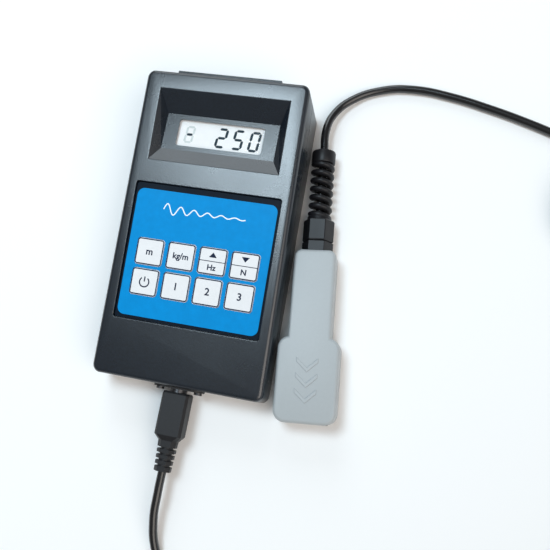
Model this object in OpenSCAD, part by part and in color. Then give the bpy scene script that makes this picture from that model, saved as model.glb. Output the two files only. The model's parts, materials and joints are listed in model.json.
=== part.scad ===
// Hand-held belt tension meter with a plug-in optical sensor on a lead.
// The meter lies on its back on the table, and the sensor lies beside it.
// Origin: centre of the meter's back face. +Y is the display end, +Z is up.

/* [Case] */
// Length of the case
case_l = 145; // [140:1:150]
// Width of the case at the socket end
case_w = 83; // [82:1:86]
// How much narrower each side is at the display end
case_taper = 1.7; // [0.5:0.1:2]
// How much narrower each side is at the back
case_draft = 0.3; // [0:0.1:1.5]
// Depth of the case at the display end
depth_display = 36; // [36:0.5:38]
// Depth of the case at the socket end
depth_socket = 19; // [19:0.5:20]
// Thickness of the case walls
wall = 2.4; // [2:0.1:2.6]
// Rounding of the front edges
edge_r = 2.2; // [1.6:0.1:2.4]
// Rounding of the corners, seen from the front
corner_r = 4; // [3.5:0.1:5]
// Depth of the joint between the two shells below the front face
joint_depth = 15; // [14.8:0.1:15.2]

/* [Display] */
// Width of the display recess at the front face
display_w = 63.8; // [62:0.2:65]
// Height of the display recess at the front face
display_h = 34.8; // [34:0.2:36]
// Centre of the display recess along the case
display_y = 47.3; // [46.6:0.1:47.8]
// Width of the level floor of the recess
bezel_w = 55.4; // [54:0.2:57]
// Height of the level floor of the recess
bezel_h = 17.8; // [17:0.2:19]
// Room between the battery and the display board
stack_gap = 1.25; // [1.1:0.05:1.4]
// Width of the window
window_w = 42.2; // [40:0.2:44]
// Height of the window
window_h = 13.2; // [12:0.2:14]

/* [Keypad] */
// Width of the overlay
overlay_w = 68.4; // [67:0.2:70]
// Height of the overlay
overlay_h = 60.4; // [59:0.2:62]
// Centre of the overlay along the case
overlay_y = -14.2; // [-14.6:0.1:-13.6]
// Black border at either side of the overlay
border_side = 1.2; // [0.8:0.1:1.6]
// Black border above the overlay
border_top = 3; // [2.4:0.1:3.4]
// Black border below the overlay
border_bottom = 1.8; // [1.2:0.1:2.4]
// Width of a key
key_w = 13.2; // [12.6:0.1:13.4]
// Height of a key
key_h = 12.4; // [12:0.1:12.6]
// Distance from key to key across
key_pitch_x = 15.45; // [15.3:0.05:15.6]
// Distance from key row to key row
key_pitch_y = 14.35; // [14.2:0.05:14.5]
// Middle of the two key rows along the case
key_rows_y = -20.9; // [-22:0.1:-20]
// How far a key goes down
key_travel = 0.35; // [0.2:0.05:0.4]
// Clearance round a key
key_gap = 0.3; // [0.25:0.05:0.35]

/* [Battery] */
// Length of the battery with its terminals
battery_l = 48.5; // [47:0.5:48.5]
// Width of the battery
battery_w = 26.5; // [25.5:0.5:26.5]
// Thickness of the battery
battery_t = 17.5; // [16.5:0.5:17.5]
// Width of the battery door
door_w = 51; // [50:0.5:52]
// Clearance round the battery door
door_gap = 0.3; // [0.25:0.05:0.35]

/* [Plug] */
// Width of the plug
plug_w = 12.9; // [12:0.1:14]
// Thickness of the plug
plug_t = 9.4; // [9:0.1:9.6]
// Length of the plug up to its shoulders
plug_l = 19.8; // [18:0.2:22]
// Distance between the two socket screws
socket_pitch = 18.6; // [18:0.1:20]

/* [Sensor] */
// Length of the sensor housing
sensor_l = 80; // [76:1:84]
// Width of the sensor's wide end
sensor_w = 28.6; // [27:0.2:30]
// Length of the sensor's wide end
sensor_wide_l = 39; // [36:1:42]
// Width of the sensor's handle
handle_w = 19.6; // [19:0.2:20.4]
// Thickness of the sensor
sensor_t = 15; // [14.6:0.1:16]
// Rounding of the sensor's edges
sensor_edge_r = 1.5; // [1:0.1:1.8]

/* [Gland] */
// Width across the flats of the gland's hexagons
hex_af = 13; // [12.6:0.1:13.6]
// Outer diameter of the spiral
spiral_d = 11.6; // [11:0.1:12]
// Number of turns of the spiral
spiral_turns = 6.5; // [5:0.5:7]
// Pitch of the spiral
spiral_pitch = 4.2; // [4:0.1:4.4]

/* [Lead] */
// Diameter of the lead
lead_d = 4; // [3.8:0.1:4.2]
// Radius of the coil at the middle of its turns
coil_r = 24; // [23:0.5:26]

/* [Hidden] */
$fn = 48;

// Case
over = 1;
fit = 0.1;
wedge = atan((depth_display - depth_socket) / case_l);
depth_mid = (depth_display + depth_socket) / 2;
roof = 4.6;
end_y = case_l / 2;
hull_fn = 32;
inner_edge_r = 0.6;
seam_h = 0.5;
seam_depth = 0.8;
end_trim = 0.4;
boss_r = 3.4;
boss_side = 6.6;
boss_end = 10.5;
boss_x = case_w / 2 - boss_side;
boss_y = end_y - boss_end;
screw_clear = 0.25;
case_screw_d = 3;
case_screw_head_d = 5.6;
case_screw_head_t = 2;
case_screw_seat = 2.8;
case_screw_bite = 8;

// Battery compartment
floor_z = wall;
battery_end_gap = 1.85;
battery_y = end_y - wall - battery_end_gap - battery_w / 2;
battery_lift = 0.4;
battery_z = floor_z + battery_lift;
battery_r = 2;
terminal_h = 2.2;
terminal_r = 2.9;
snap_t = 2.4;
snap_side = 1;
snap_rise = 2;
snap_r = 1.5;
stop_t = 1.8;
stop_below_top = 6;
door_margin = 3.25;
door_y0 = battery_y - battery_w / 2 - door_margin;
door_t = 2.1;
door_rise = 0.15;
tongue = 1.4;
tongue_t = 0.8;
tongue_z = 1.2;
rail_w = 3.6;
rail_z = 4.4;
lip_t = 1.9;
lip_below_front = 3;
tongue_end = 2;
grip_count = 5;
grip_pitch = 3;
grip_depth = 0.6;
grip_start = 6;

// Display stack, level with the table
bezel_y = 45.6;
bezel_wall = 1.7;
lens_t = 1.2;
lens_margin = 2;
lens_shelf = 0.25;
panel_w = 50;
panel_h = 20;
panel_t = 2.4;
panel_r = 0.4;
frame_rim = 3;
frame_t = 3.6;
frame_r = 1.5;
frame_w = panel_w + 2 * frame_rim;
frame_h = panel_h + 2 * frame_rim;
frame_screw_x = frame_w / 2 - frame_rim / 2;
frame_screw_y = frame_h / 2 - frame_rim / 2;
frame_screw_head_d = 2.8;
frame_screw_head_t = 0.8;
strip_w = 2;
strip_inset = 1.2;
board_t = 1.6;
board_thread = 2.8;
screw_end = 0.4;
board_hole_clear = 0.2;
window_r = 1.4;
lens_r = window_r - fit;
stack_z = battery_z + battery_t + stack_gap + board_t + frame_t;
bezel_z = stack_z + bezel_wall;
display_boss_rim = 1.6;
display_boss_below = 8;
display_boss_h = display_h - 4.8;
small_screw_d = 2;
slot_w = 0.6;
small_screw_head_d = 3.8;
small_screw_head_t = 1.4;

// Main board, parallel to the front face
main_board_w = 66;
main_board_h = 74;
main_board_y = -15;
main_board_depth = 8;
board_post_r = 2.6;
board_post_inset = 4;
board_post_x = main_board_w / 2 - board_post_inset;
board_post_y = main_board_h / 2 - board_post_inset;
board_r = 2;
chip_w = 14;
chip_t = 1.8;
chip_r = 0.4;
chip_x = -6;
chip_y = 8;
capacitor_d = 5;
capacitor_h = 5;
capacitor_count = 3;
capacitor_pitch = 8;
capacitor_x = 14;
capacitor_y = 18;
tail_socket_w = 18;
tail_socket_h = 5;
tail_socket_t = 3;
tail_socket_inset = 9;

// Keypad layers, as depths below the front face
pad_w = overlay_w + 2 * border_side;
pad_h = overlay_h + border_top + border_bottom;
pad_y = overlay_y + (border_top - border_bottom) / 2;
overlay_depth = 1;
overlay_t = 0.4;
overlay_r = 3.4;
flange_gap = 0.08;
flange_t = 0.5;
flange_lap = 0.4;
key_proud = 0.35;
key_r = 1.4;
flange_depth = overlay_depth + overlay_t + flange_gap;
dome_clear = 0.07;
dome_h = 0.4;
dome_r = 4;
circuit_t = 0.3;
well_margin = 1.3;
well_r = 1;
circuit_depth = flange_depth + flange_t + key_travel + dome_clear + dome_h;
pad_depth = circuit_depth + circuit_t;
spacer_t = circuit_depth - overlay_depth - overlay_t;
pad_r = 1.2;
pad_fit = 0.25;
key_cols = 4;
key_rows = 2;

// Socket and plug on one axis through the socket end
plug_z = 9.8;
barrel_r = 4.1;
socket_r = 4.5;
socket_l = 12;
flange_plate_t = 1;
flange_plate_h = 9.4;
flange_plate_end = 3;
flange_plate_r = 4.6;
socket_screw_head_t = 1.2;
socket_screw_bite = 2;
socket_screw_l = wall + flange_plate_t + socket_screw_bite;
socket_insert_l = 4;
plug_gap = 2.6;
plug_shoulder = 2.4;
plug_chamfer = 1.2;
slice_t = 0.01;
plug_lead_in = 0.8;
plug_lead_in_w = 0.5;
plug_reach = 6.6;
plug_tube_t = 0.4;
plug_insert_l = 2.4;
neck_w = 9.2;
neck_t = 7.4;
neck_l = 14;
neck_chamfer = 2;
neck_taper_w = 1.6;
neck_taper_t = 0.8;
neck_ring_gap = 1;
neck_ring_start = 3;
neck_core_r = lead_d / 2 + 0.9;
neck_ring_pitch = 2.6;
neck_rings = 4;
plug_end_y = -end_y - plug_gap - plug_l - plug_shoulder - neck_l;
pin_r = 0.5;
pin_reach = 6;
pin_clear = 0.02;
pin_ring_r = 2.2;
pin_count = 5;

// Sensor, lying beside the case and turned a little
sensor_side = 19.3;
sensor_below = 5.5;
sensor_at = [case_w / 2 + sensor_side, -end_y - sensor_below];
sensor_turn = 6;
sensor_wall = 2.2;
wide_r = 5.5;
handle_r = 3.5;
handle_root = 12;
axis_z = sensor_t / 2;
cover_t = 1.6;
cover_margin = 2.4;
eye_x = 8;
eye_r = 2.5;
lamp_r = 1.5;
eye_l = 7;
eye_step = 0.3;
eye_stem_l = 4;
post_side = 4.3;
post_handle_side = 4.2;
wide_post_y = 20;
handle_post_end = 15;
handle_post_y = sensor_l - handle_post_end;
wide_post_x = sensor_w / 2 - post_side;
handle_post_x = handle_w / 2 - post_handle_side;
sensor_screw_places = [
    [-wide_post_x, wide_post_y], [wide_post_x, wide_post_y],
    [-handle_post_x, handle_post_y], [handle_post_x, handle_post_y]
];
sensor_post_r = 2.4;
sensor_hole_l = 6;
sensor_screw_l = 5;
sensor_screw_seat = 0.9;
sensor_screw_head_t = 0.7;
cover_lift = 0.15;
cover_step = 0.8;
cover_handle_r = 1.1;
room_start = 4;
room_end = 8;
room_l = sensor_l - room_start - room_end;
sensor_board_w = 2 * (wide_post_x - sensor_post_r) - 1.2;
sensor_board_start = eye_l + 1;
sensor_board_l = sensor_wide_l - sensor_board_start - 5;
sensor_board_below = 3.4;
sensor_board_r = 1;
gland_hole_l = 10;

// Gland
thread_r = 5.6;
thread_l = 7;
base_hex_l = 4.6;
nut_gap = 0.3;
nut_l = 13;
nut_shoulder = 2;
seal_r = 4.4;
seal_l = 3;
spiral_l = spiral_turns * spiral_pitch;
collar_l = 6.4;
collar_r = spiral_d / 2;
gland_y = sensor_l;
nut_y = gland_y + base_hex_l + nut_gap;
spiral_y = nut_y + nut_l;
collar_y = spiral_y + spiral_l - spiral_pitch / 4;
gland_end = collar_y + collar_l;
upper_thread_r = 4.9;
upper_thread_l = 7;
bore_clear = 0.25;
bore_r = lead_d / 2 + bore_clear;
seal_bore_r = lead_d / 2 + 0.05;
spiral_start = 7;
spiral_steps = 18;
spiral_sides = 10;
spiral_band = 2.8;
spiral_inset = 0.2;

// Lead: the end of the gland, points on the table, the coil, and the plug
lead_z = lead_d / 2 + 0.05;
lead_sides = 10;
lead_steps = 2;
coil_at = [188, 40];
coil_band_w = 8.6;
coil_band_h = 8;
coil_band_r = 3;
tie_gap = 0.1;
tie_t = 0.7;
tie_w = 5;
coil_lift = tie_gap + tie_t;
coil_mid_z = coil_lift + coil_band_h / 2;
tie_hole_w = coil_band_w + 2 * tie_gap;
tie_hole_h = coil_band_h + 2 * tie_gap;
gland_tip = sensor_point([0, gland_end]);
route_to_coil = [
    [gland_tip[0], gland_tip[1], axis_z], [46, 63, 7], [48, 73, 5], [56, 83, 3],
    [70, 90, lead_z], [86, 92, lead_z], [104, 90, lead_z], [122, 86, lead_z],
    [140, 81, lead_z], [158, 75, lead_z], [174, 69, lead_z], [188, 64, 5]
];
route_to_plug = [
    [212, 40, 5], [211, 10, lead_z], [206, -25, lead_z], [196, -60, lead_z],
    [190, -96, lead_z], [170, -124, lead_z], [136, -137, lead_z], [104, -143, lead_z],
    [75, -150, lead_z], [50, -159, lead_z], [30, -165, lead_z], [12, -160, lead_z],
    [3, -147, 4.5], [0, -133, 8], [0, -121, plug_z], [0, plug_end_y, plug_z]
];

// Height of the front face above the table at a place along the case
function front_z(y) = depth_mid + y * tan(wedge);

// A point of the sensor's own plan, on the table
function sensor_point(p) = [
    sensor_at[0] + p[0] * cos(sensor_turn) - p[1] * sin(sensor_turn),
    sensor_at[1] + p[0] * sin(sensor_turn) + p[1] * cos(sensor_turn)
];

// A smooth line through hand-placed points
function knot(points, i) = points[max(0, min(len(points) - 1, i))];
function between(a, b, c, d, t) =
    0.5 * (2 * b + (c - a) * t + (2 * a - 5 * b + 4 * c - d) * t * t + (3 * b - a - 3 * c + d) * t * t * t);
function smooth_line(points, steps) = [
    for (i = [0:len(points) - 2], s = [0:steps - 1])
        between(knot(points, i - 1), knot(points, i), knot(points, i + 1), knot(points, i + 2), s / steps),
    points[len(points) - 1]
];

function unit(v) = v / norm(v);
function heading(line, i) = unit(line[min(len(line) - 1, i + 1)] - line[max(0, i - 1)]);

// Rings of a round tube along a line that stays nearly level
function tube_ring(line, i, r) =
    let (side = unit(cross(heading(line, i), [0, 0, 1])), lift = cross(side, heading(line, i)))
    [for (k = [0:lead_sides - 1])
        let (a = 360 * k / lead_sides) line[i] + r * (cos(a) * side + sin(a) * lift)];

// A closed solid through rings that all have the same number of points
module ring_solid(rings) {
    n = len(rings[0]);
    last = len(rings) - 1;
    polyhedron(
        points = [for (ring = rings, p = ring) p],
        faces = [
            [for (k = [n - 1:-1:0]) k],
            for (i = [0:last - 1], k = [0:n - 1]) let (a = i * n + k, b = i * n + (k + 1) % n) each
                [[a, b, b + n], [a, b + n, a + n]],
            [for (k = [0:n - 1]) last * n + k]
        ]
    );
}

module tube(points) {
    line = smooth_line(points, lead_steps);
    ring_solid([for (i = [0:len(line) - 1]) tube_ring(line, i, lead_d / 2)]);
}

module on_front() {
    translate([0, 0, depth_mid]) rotate([wedge, 0, 0]) children();
}

module on_sensor() {
    translate([sensor_at[0], sensor_at[1], 0]) rotate([0, 0, sensor_turn]) children();
}

// Along the sensor's axis, starting at a place on it
module on_axis(y) {
    on_sensor() translate([0, y, axis_z]) rotate([-90, 0, 0]) children();
}

// Along the plug's axis, pointing out of the socket end
module on_plug(y) {
    translate([0, y, plug_z]) rotate([90, 0, 0]) children();
}

// Rectangle with round corners, centred
module rounded(w, h, r) {
    square([w - 2 * r, h], center = true);
    square([w, h - 2 * r], center = true);
    for (x = [-1, 1], y = [-1, 1])
        translate([x * (w / 2 - r), y * (h / 2 - r)]) circle(r);
}

module plate(w, h, r, t) {
    linear_extrude(t) rounded(w, h, r);
}

module at_corners(x, y) {
    for (sx = [-1, 1], sy = [-1, 1]) translate([sx * x, sy * y, 0]) children();
}

module hex_prism(af, h) {
    cylinder(d = af / cos(30), h = h, $fn = 6);
}

// Ring that rounds a corner of a hull
module corner_ring(r, edge) {
    rotate_extrude($fn = hull_fn) intersection() {
        translate([r - edge, 0]) circle(edge, $fn = 24);
        translate([0, -edge]) square([r, 2 * edge]);
    }
}

// Solid outer form of the case, drawn in by a margin on every side
module case_form(margin, edge) {
    r = corner_r - margin / 2;
    hull() for (sx = [-1, 1], sy = [-1, 1]) {
        half = case_w / 2 - margin - (sy > 0 ? case_taper : 0);
        reach = end_y + end_trim - margin;
        down = edge + (margin > 0 ? roof : 0);
        on_front() translate([sx * (half - r), sy * (reach - r) / cos(wedge), -down]) corner_ring(r, edge);
        translate([sx * (half - case_draft - r), sy * (reach - r), margin])
            cylinder(r = r, h = 1, $fn = hull_fn);
    }
}

module case_solid() {
    intersection() {
        case_form(0, edge_r);
        translate([-case_w, -end_y, 0]) cube([2 * case_w, case_l, 2 * depth_display]);
    }
}

module front_side() {
    on_front() translate([-case_w, -case_l, -joint_depth]) cube([2 * case_w, 2 * case_l, 2 * joint_depth]);
}

// Shadow gap round the case where the two shells meet
module seam_groove() {
    difference() {
        on_front() translate([-case_w, -case_l, -joint_depth - over])
            cube([2 * case_w, 2 * case_l, seam_h + over]);
        case_form(seam_depth, inner_edge_r);
    }
}

// The display recess: a level floor, sloping walls, and a mouth in the front face
module display_recess() {
    y0 = (display_y - display_h / 2) * cos(wedge);
    y1 = (display_y + display_h / 2) * cos(wedge);
    x = display_w / 2;
    fx = bezel_w / 2;
    f0 = bezel_y - bezel_h / 2;
    f1 = bezel_y + bezel_h / 2;
    low = [[-fx, f0, bezel_z], [-fx, f1, bezel_z], [fx, f1, bezel_z], [fx, f0, bezel_z]];
    mouth = [[-x, y0, front_z(y0)], [-x, y1, front_z(y1)], [x, y1, front_z(y1)], [x, y0, front_z(y0)]];
    ring_solid([low, mouth, [for (p = mouth) p + [0, 0, over]]]);
}

// Thick wall round the recess, which carries the display
module display_boss() {
    translate([-display_w / 2 - display_boss_rim, bezel_y - bezel_h / 2 - display_boss_below, stack_z])
        cube([display_w + 2 * display_boss_rim, display_boss_h, depth_display]);
}

// The window, the seat of the lens, and the room for the display behind them
module display_room() {
    seat = lens_margin + fit;
    translate([0, bezel_y, stack_z - over]) plate(window_w, window_h, window_r, bezel_wall + 2 * over);
    translate([0, bezel_y, stack_z - over])
        plate(window_w + 2 * seat, window_h + 2 * seat, window_r, lens_t + over);
    translate([0, bezel_y, 0]) plate(frame_w + 2 * fit, frame_h + 2 * fit, frame_r, stack_z);
}

module case_boss_places() {
    at_corners(boss_x, boss_y) children();
}

// Height of the joint between the shells at a place along the case
function joint_z(y) = front_z(y) - joint_depth / cos(wedge);

module front_shell() {
    color([0.26, 0.29, 0.32]) difference() {
        intersection() {
            case_solid();
            front_side();
            union() {
                difference() {
                    translate([-case_w, -case_l, 0]) cube([2 * case_w, 2 * case_l, 2 * depth_display]);
                    case_form(wall, inner_edge_r);
                }
                display_boss();
                case_boss_places() cylinder(r = boss_r, h = 2 * depth_display);
                on_front() translate([0, main_board_y, -main_board_depth])
                    at_corners(board_post_x, board_post_y)
                        cylinder(r = board_post_r, h = main_board_depth - 1);
            }
        }
        seam_groove();
        display_recess();
        display_room();
        on_front() translate([0, pad_y, -pad_depth]) plate(pad_w, pad_h, pad_r, pad_depth + over);
        for (sx = [-1, 1], sy = [-1, 1])
            translate([sx * boss_x, sy * boss_y, joint_z(sy * boss_y) - over])
                cylinder(d = case_screw_d + fit, h = case_screw_bite + over + 1);
        on_front() translate([0, main_board_y, -main_board_depth - over])
            at_corners(board_post_x, board_post_y)
                cylinder(d = small_screw_d + fit, h = over + board_thread + screw_end);
        on_plug(-end_y + wall + over) cylinder(r = socket_r + fit, h = wall + 2 * over);
        for (sx = [-1, 1])
            on_plug(-end_y + wall + over) translate([sx * socket_pitch / 2, 0, 0])
                cylinder(d = small_screw_d + fit, h = wall + 2 * over);
    }
}

// Room for the sliding door: its plate, its tongues and its way out through the end
module door_room() {
    translate([-door_w / 2 - door_gap, door_y0 - door_gap, -over])
        cube([door_w + 2 * door_gap, case_l, door_rise + door_t + door_gap + over]);
    translate([-door_w / 2 - tongue - door_gap, door_y0 - door_gap, tongue_z - door_gap])
        cube([door_w + 2 * tongue + 2 * door_gap, case_l, tongue_t + 2 * door_gap]);
}

module rear_shell() {
    color([0.22, 0.24, 0.27]) difference() {
        intersection() {
            difference() {
                case_solid();
                front_side();
            }
            union() {
                difference() {
                    translate([-case_w, -case_l, 0]) cube([2 * case_w, 2 * case_l, 2 * depth_display]);
                    case_form(wall, inner_edge_r);
                }
                case_boss_places() cylinder(r = boss_r, h = depth_display);
                for (sx = [-1, 1])
                    translate([sx * (door_w / 2 + door_gap + rail_w / 2) - rail_w / 2, door_y0 - 2, 0])
                        cube([rail_w, end_y - door_y0, rail_z]);
                translate([-door_w / 2 - rail_w, door_y0 - door_gap - stop_t, 0])
                    cube([door_w + 2 * rail_w, stop_t, battery_z + battery_t - stop_below_top]);
            }
        }
        door_room();
        translate([-door_w / 2 + door_gap, door_y0, -over])
            cube([door_w - 2 * door_gap, end_y - wall - door_y0 - 2 * door_gap, wall + 2 * over]);
        for (sx = [-1, 1], sy = [-1, 1]) translate([sx * boss_x, sy * boss_y, 0]) {
            seat = joint_z(sy * boss_y) - case_screw_seat;
            translate([0, 0, -over]) cylinder(d = case_screw_head_d + 2 * screw_clear, h = seat + over);
            cylinder(d = case_screw_d + 2 * screw_clear, h = depth_display);
        }
    }
}

module battery_door() {
    lip_z = front_z(end_y) - lip_below_front;
    color([0.22, 0.24, 0.27]) difference() {
        union() {
            translate([-door_w / 2, door_y0, door_rise])
                cube([door_w, end_y + door_gap + lip_t - door_y0, door_t]);
            translate([-door_w / 2 - tongue, door_y0 + tongue_end, tongue_z])
                cube([door_w + 2 * tongue, end_y - wall - door_y0 - 2 * tongue_end, tongue_t]);
            translate([-door_w / 2, end_y + door_gap, door_rise])
                cube([door_w, lip_t, lip_z - door_rise]);
        }
        for (i = [0:grip_count - 1])
            translate([-door_w / 4, door_y0 + grip_start + i * grip_pitch, door_rise - over])
                cube([door_w / 2, grip_pitch / 2, over + grip_depth]);
    }
}

module battery() {
    body_l = battery_l - terminal_h;
    color([0.15, 0.16, 0.18]) translate([-battery_l / 2, battery_y, battery_z + battery_t / 2]) {
        rotate([90, 0, 90]) plate(battery_w, battery_t, battery_r, body_l);
        for (sy = [-1, 1])
            translate([body_l, sy * battery_w / 4, 0]) rotate([0, 90, 0])
                cylinder(r = terminal_r, h = terminal_h);
    }
}

module battery_snap() {
    color([0.08, 0.08, 0.09])
        translate([battery_l / 2 + fit, battery_y, battery_z + battery_t / 2])
            rotate([90, 0, 90]) plate(battery_w - 2 * snap_side, battery_t - 2 * snap_rise, snap_r, snap_t);
}

module screw(d, shank, head_d, head_t) {
    cylinder(d = d, h = shank);
    difference() {
        translate([0, 0, -head_t]) cylinder(d = head_d, h = head_t);
        for (a = [0, 90]) rotate(a)
            translate([-head_d / 3, -slot_w / 2, -head_t - over])
                cube([head_d / 1.5, slot_w, head_t / 2 + over]);
    }
}

module case_screws() {
    color("silver") for (sx = [-1, 1], sy = [-1, 1])
        translate([sx * boss_x, sy * boss_y, joint_z(sy * boss_y) - case_screw_seat])
            screw(case_screw_d, case_screw_seat + case_screw_bite, case_screw_head_d, case_screw_head_t);
}

module lcd_lens() {
    color([0.85, 0.9, 0.92, 0.5]) translate([0, bezel_y, stack_z]) {
        plate(window_w + 2 * lens_margin, window_h + 2 * lens_margin, lens_r, lens_t);
        translate([0, 0, lens_t])
            plate(window_w - 2 * fit, window_h - 2 * fit, lens_r, bezel_wall - lens_t - lens_shelf);
    }
}

module lcd_frame() {
    color([0.1, 0.1, 0.11]) translate([0, bezel_y, stack_z - frame_t]) difference() {
        plate(frame_w, frame_h, frame_r, frame_t);
        translate([0, 0, -over])
            plate(panel_w + 2 * fit, panel_h + 2 * fit, panel_r, frame_t + 2 * over);
        translate([0, 0, -over]) at_corners(frame_screw_x, frame_screw_y)
            cylinder(d = small_screw_d + fit, h = board_thread + screw_end + over);
    }
}

module lcd_panel() {
    color([0.72, 0.78, 0.72]) translate([0, bezel_y, stack_z - panel_t])
        plate(panel_w, panel_h, panel_r, panel_t);
}

module contact_strips() {
    color([0.9, 0.55, 0.6]) for (sy = [-1, 1])
        translate([0, bezel_y + sy * (panel_h / 2 - strip_inset), stack_z - frame_t])
            plate(panel_w - strip_w, strip_w, fit, frame_t - panel_t);
}

module display_board() {
    color([0.1, 0.35, 0.2]) translate([0, bezel_y, stack_z - frame_t - board_t]) difference() {
        plate(frame_w, frame_h, frame_r, board_t);
        translate([0, 0, -over]) at_corners(frame_screw_x, frame_screw_y)
            cylinder(d = small_screw_d + board_hole_clear, h = board_t + 2 * over);
    }
}

module display_screws() {
    color("silver") translate([0, bezel_y, stack_z - frame_t - board_t])
        at_corners(frame_screw_x, frame_screw_y)
            screw(small_screw_d, board_t + board_thread, frame_screw_head_d, frame_screw_head_t);
}

module main_board() {
    color([0.1, 0.35, 0.2]) on_front()
        translate([0, main_board_y, -main_board_depth - board_t]) difference() {
            plate(main_board_w, main_board_h, board_r, board_t);
            translate([0, 0, -over]) at_corners(board_post_x, board_post_y)
                cylinder(d = small_screw_d + board_hole_clear, h = board_t + 2 * over);
        }
}

module board_screws() {
    color("silver") on_front() translate([0, main_board_y, -main_board_depth - board_t])
        at_corners(board_post_x, board_post_y)
            screw(small_screw_d, board_t + board_thread, small_screw_head_d, small_screw_head_t);
}

// A piece on the underside of the main board
module under_board(x, y, h) {
    on_front() translate([x, main_board_y + y, -main_board_depth - board_t - h]) children();
}

module processor() {
    color([0.12, 0.12, 0.13]) under_board(chip_x, chip_y, chip_t) plate(chip_w, chip_w, chip_r, chip_t);
}

module board_capacitors() {
    color([0.15, 0.2, 0.4]) for (i = [0:capacitor_count - 1])
        under_board(capacitor_x, capacitor_y - capacitor_pitch * i, capacitor_h)
            cylinder(d = capacitor_d, h = capacitor_h);
}

module keypad_socket() {
    color([0.9, 0.88, 0.8]) under_board(chip_x, main_board_h / 2 - tail_socket_inset, tail_socket_t)
        plate(tail_socket_w, tail_socket_h, chip_r, tail_socket_t);
}

module keypad_circuit() {
    color([0.06, 0.06, 0.07]) on_front() translate([0, pad_y, -pad_depth])
        plate(pad_w - 2 * pad_fit, pad_h - 2 * pad_fit, pad_r, circuit_t);
}

function key_x(i) = (i % key_cols - (key_cols - 1) / 2) * key_pitch_x;
function key_y(i) = key_rows_y + (floor(i / key_cols) == 0 ? 0.5 : -0.5) * key_pitch_y;

module snap_domes() {
    sphere_r = (dome_r * dome_r + dome_h * dome_h) / (2 * dome_h);
    color("silver") on_front() for (i = [0:key_cols * key_rows - 1])
        translate([key_x(i), key_y(i), -circuit_depth])
            rotate_extrude() intersection() {
                translate([0, dome_h - sphere_r]) circle(sphere_r, $fn = 240);
                square([dome_r, dome_h]);
            }
}

module keypad_spacer() {
    well_w = (key_cols - 1) * key_pitch_x + key_w + 2 * well_margin;
    well_h = (key_rows - 1) * key_pitch_y + key_h + 2 * well_margin;
    color([0.06, 0.06, 0.07]) on_front() difference() {
        translate([0, pad_y, -circuit_depth])
            plate(pad_w - 2 * pad_fit, pad_h - 2 * pad_fit, pad_r, spacer_t);
        translate([0, key_rows_y, -circuit_depth - over])
            plate(well_w, well_h, well_r, circuit_depth + over);
    }
}

module keypad_overlay() {
    color([0.02, 0.5, 0.8]) on_front() difference() {
        translate([0, overlay_y, -overlay_depth - overlay_t])
            plate(overlay_w, overlay_h, overlay_r, overlay_t);
        for (i = [0:key_cols * key_rows - 1])
            translate([key_x(i), key_y(i), -overlay_depth - overlay_t - over])
                plate(key_w + 2 * key_gap, key_h + 2 * key_gap, key_r + key_gap, overlay_t + 2 * over);
    }
}

module key(i) {
    lap = 2 * (key_gap + flange_lap);
    color([0.93, 0.94, 0.98]) on_front() translate([key_x(i), key_y(i), -flange_depth - flange_t]) {
        plate(key_w + lap, key_h + lap, key_r, flange_t);
        plate(key_w, key_h, key_r, flange_t + flange_depth - overlay_depth + key_proud);
    }
}

module socket_shell() {
    color("silver") difference() {
        union() {
            on_plug(-end_y + socket_l) cylinder(r = socket_r, h = socket_l);
            on_plug(-end_y)
                plate(socket_pitch + 2 * flange_plate_end, flange_plate_h, flange_plate_r, flange_plate_t);
        }
        on_plug(-end_y + socket_l - over) cylinder(r = barrel_r + fit, h = socket_l + 2 * over);
        for (sx = [-1, 1])
            on_plug(-end_y + over) translate([sx * socket_pitch / 2, 0, 0])
                cylinder(d = small_screw_d + fit, h = flange_plate_t + 2 * over);
    }
}

module socket_insert() {
    color([0.07, 0.07, 0.08]) on_plug(-end_y + socket_l - over) cylinder(r = barrel_r, h = socket_insert_l);
}

module socket_screws() {
    color("silver") for (sx = [-1, 1])
        on_plug(-end_y - flange_plate_t) translate([sx * socket_pitch / 2, 0, 0]) rotate([180, 0, 0])
            screw(small_screw_d, socket_screw_l, small_screw_head_d, socket_screw_head_t);
}

module plug_shell() {
    color("silver") on_plug(-end_y + plug_reach) difference() {
        cylinder(r = barrel_r - fit, h = plug_reach + plug_gap);
        translate([0, 0, -over])
            cylinder(r = barrel_r - fit - plug_tube_t, h = plug_reach + plug_gap + 2 * over);
    }
}

module plug_insert() {
    color([0.07, 0.07, 0.08]) on_plug(-end_y + plug_insert_l) difference() {
        cylinder(r = barrel_r - plug_tube_t - 2 * fit, h = plug_insert_l + plug_gap);
        for (i = [0:pin_count - 1]) rotate(360 * i / pin_count) translate([pin_ring_r, 0, -over])
            cylinder(r = pin_r + pin_clear, h = plug_insert_l + plug_gap + 2 * over);
    }
}

module plug_pins() {
    color("gold") on_plug(-end_y + pin_reach) for (i = [0:pin_count - 1])
        rotate(360 * i / pin_count) translate([pin_ring_r, 0, 0])
            cylinder(r = pin_r, h = pin_reach + plug_gap);
}

// A slice of the plug: a chamfered rectangle
module plug_slice(w, t, c) {
    polygon([
        [-w / 2 + c, -t / 2], [w / 2 - c, -t / 2], [w / 2, -t / 2 + c], [w / 2, t / 2 - c],
        [w / 2 - c, t / 2], [-w / 2 + c, t / 2], [-w / 2, t / 2 - c], [-w / 2, -t / 2 + c]
    ]);
}

// A thin slice, to be joined to others by a hull
module plug_face(z, w, t, c) {
    translate([0, 0, z]) linear_extrude(slice_t) plug_slice(w, t, c);
}

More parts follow.
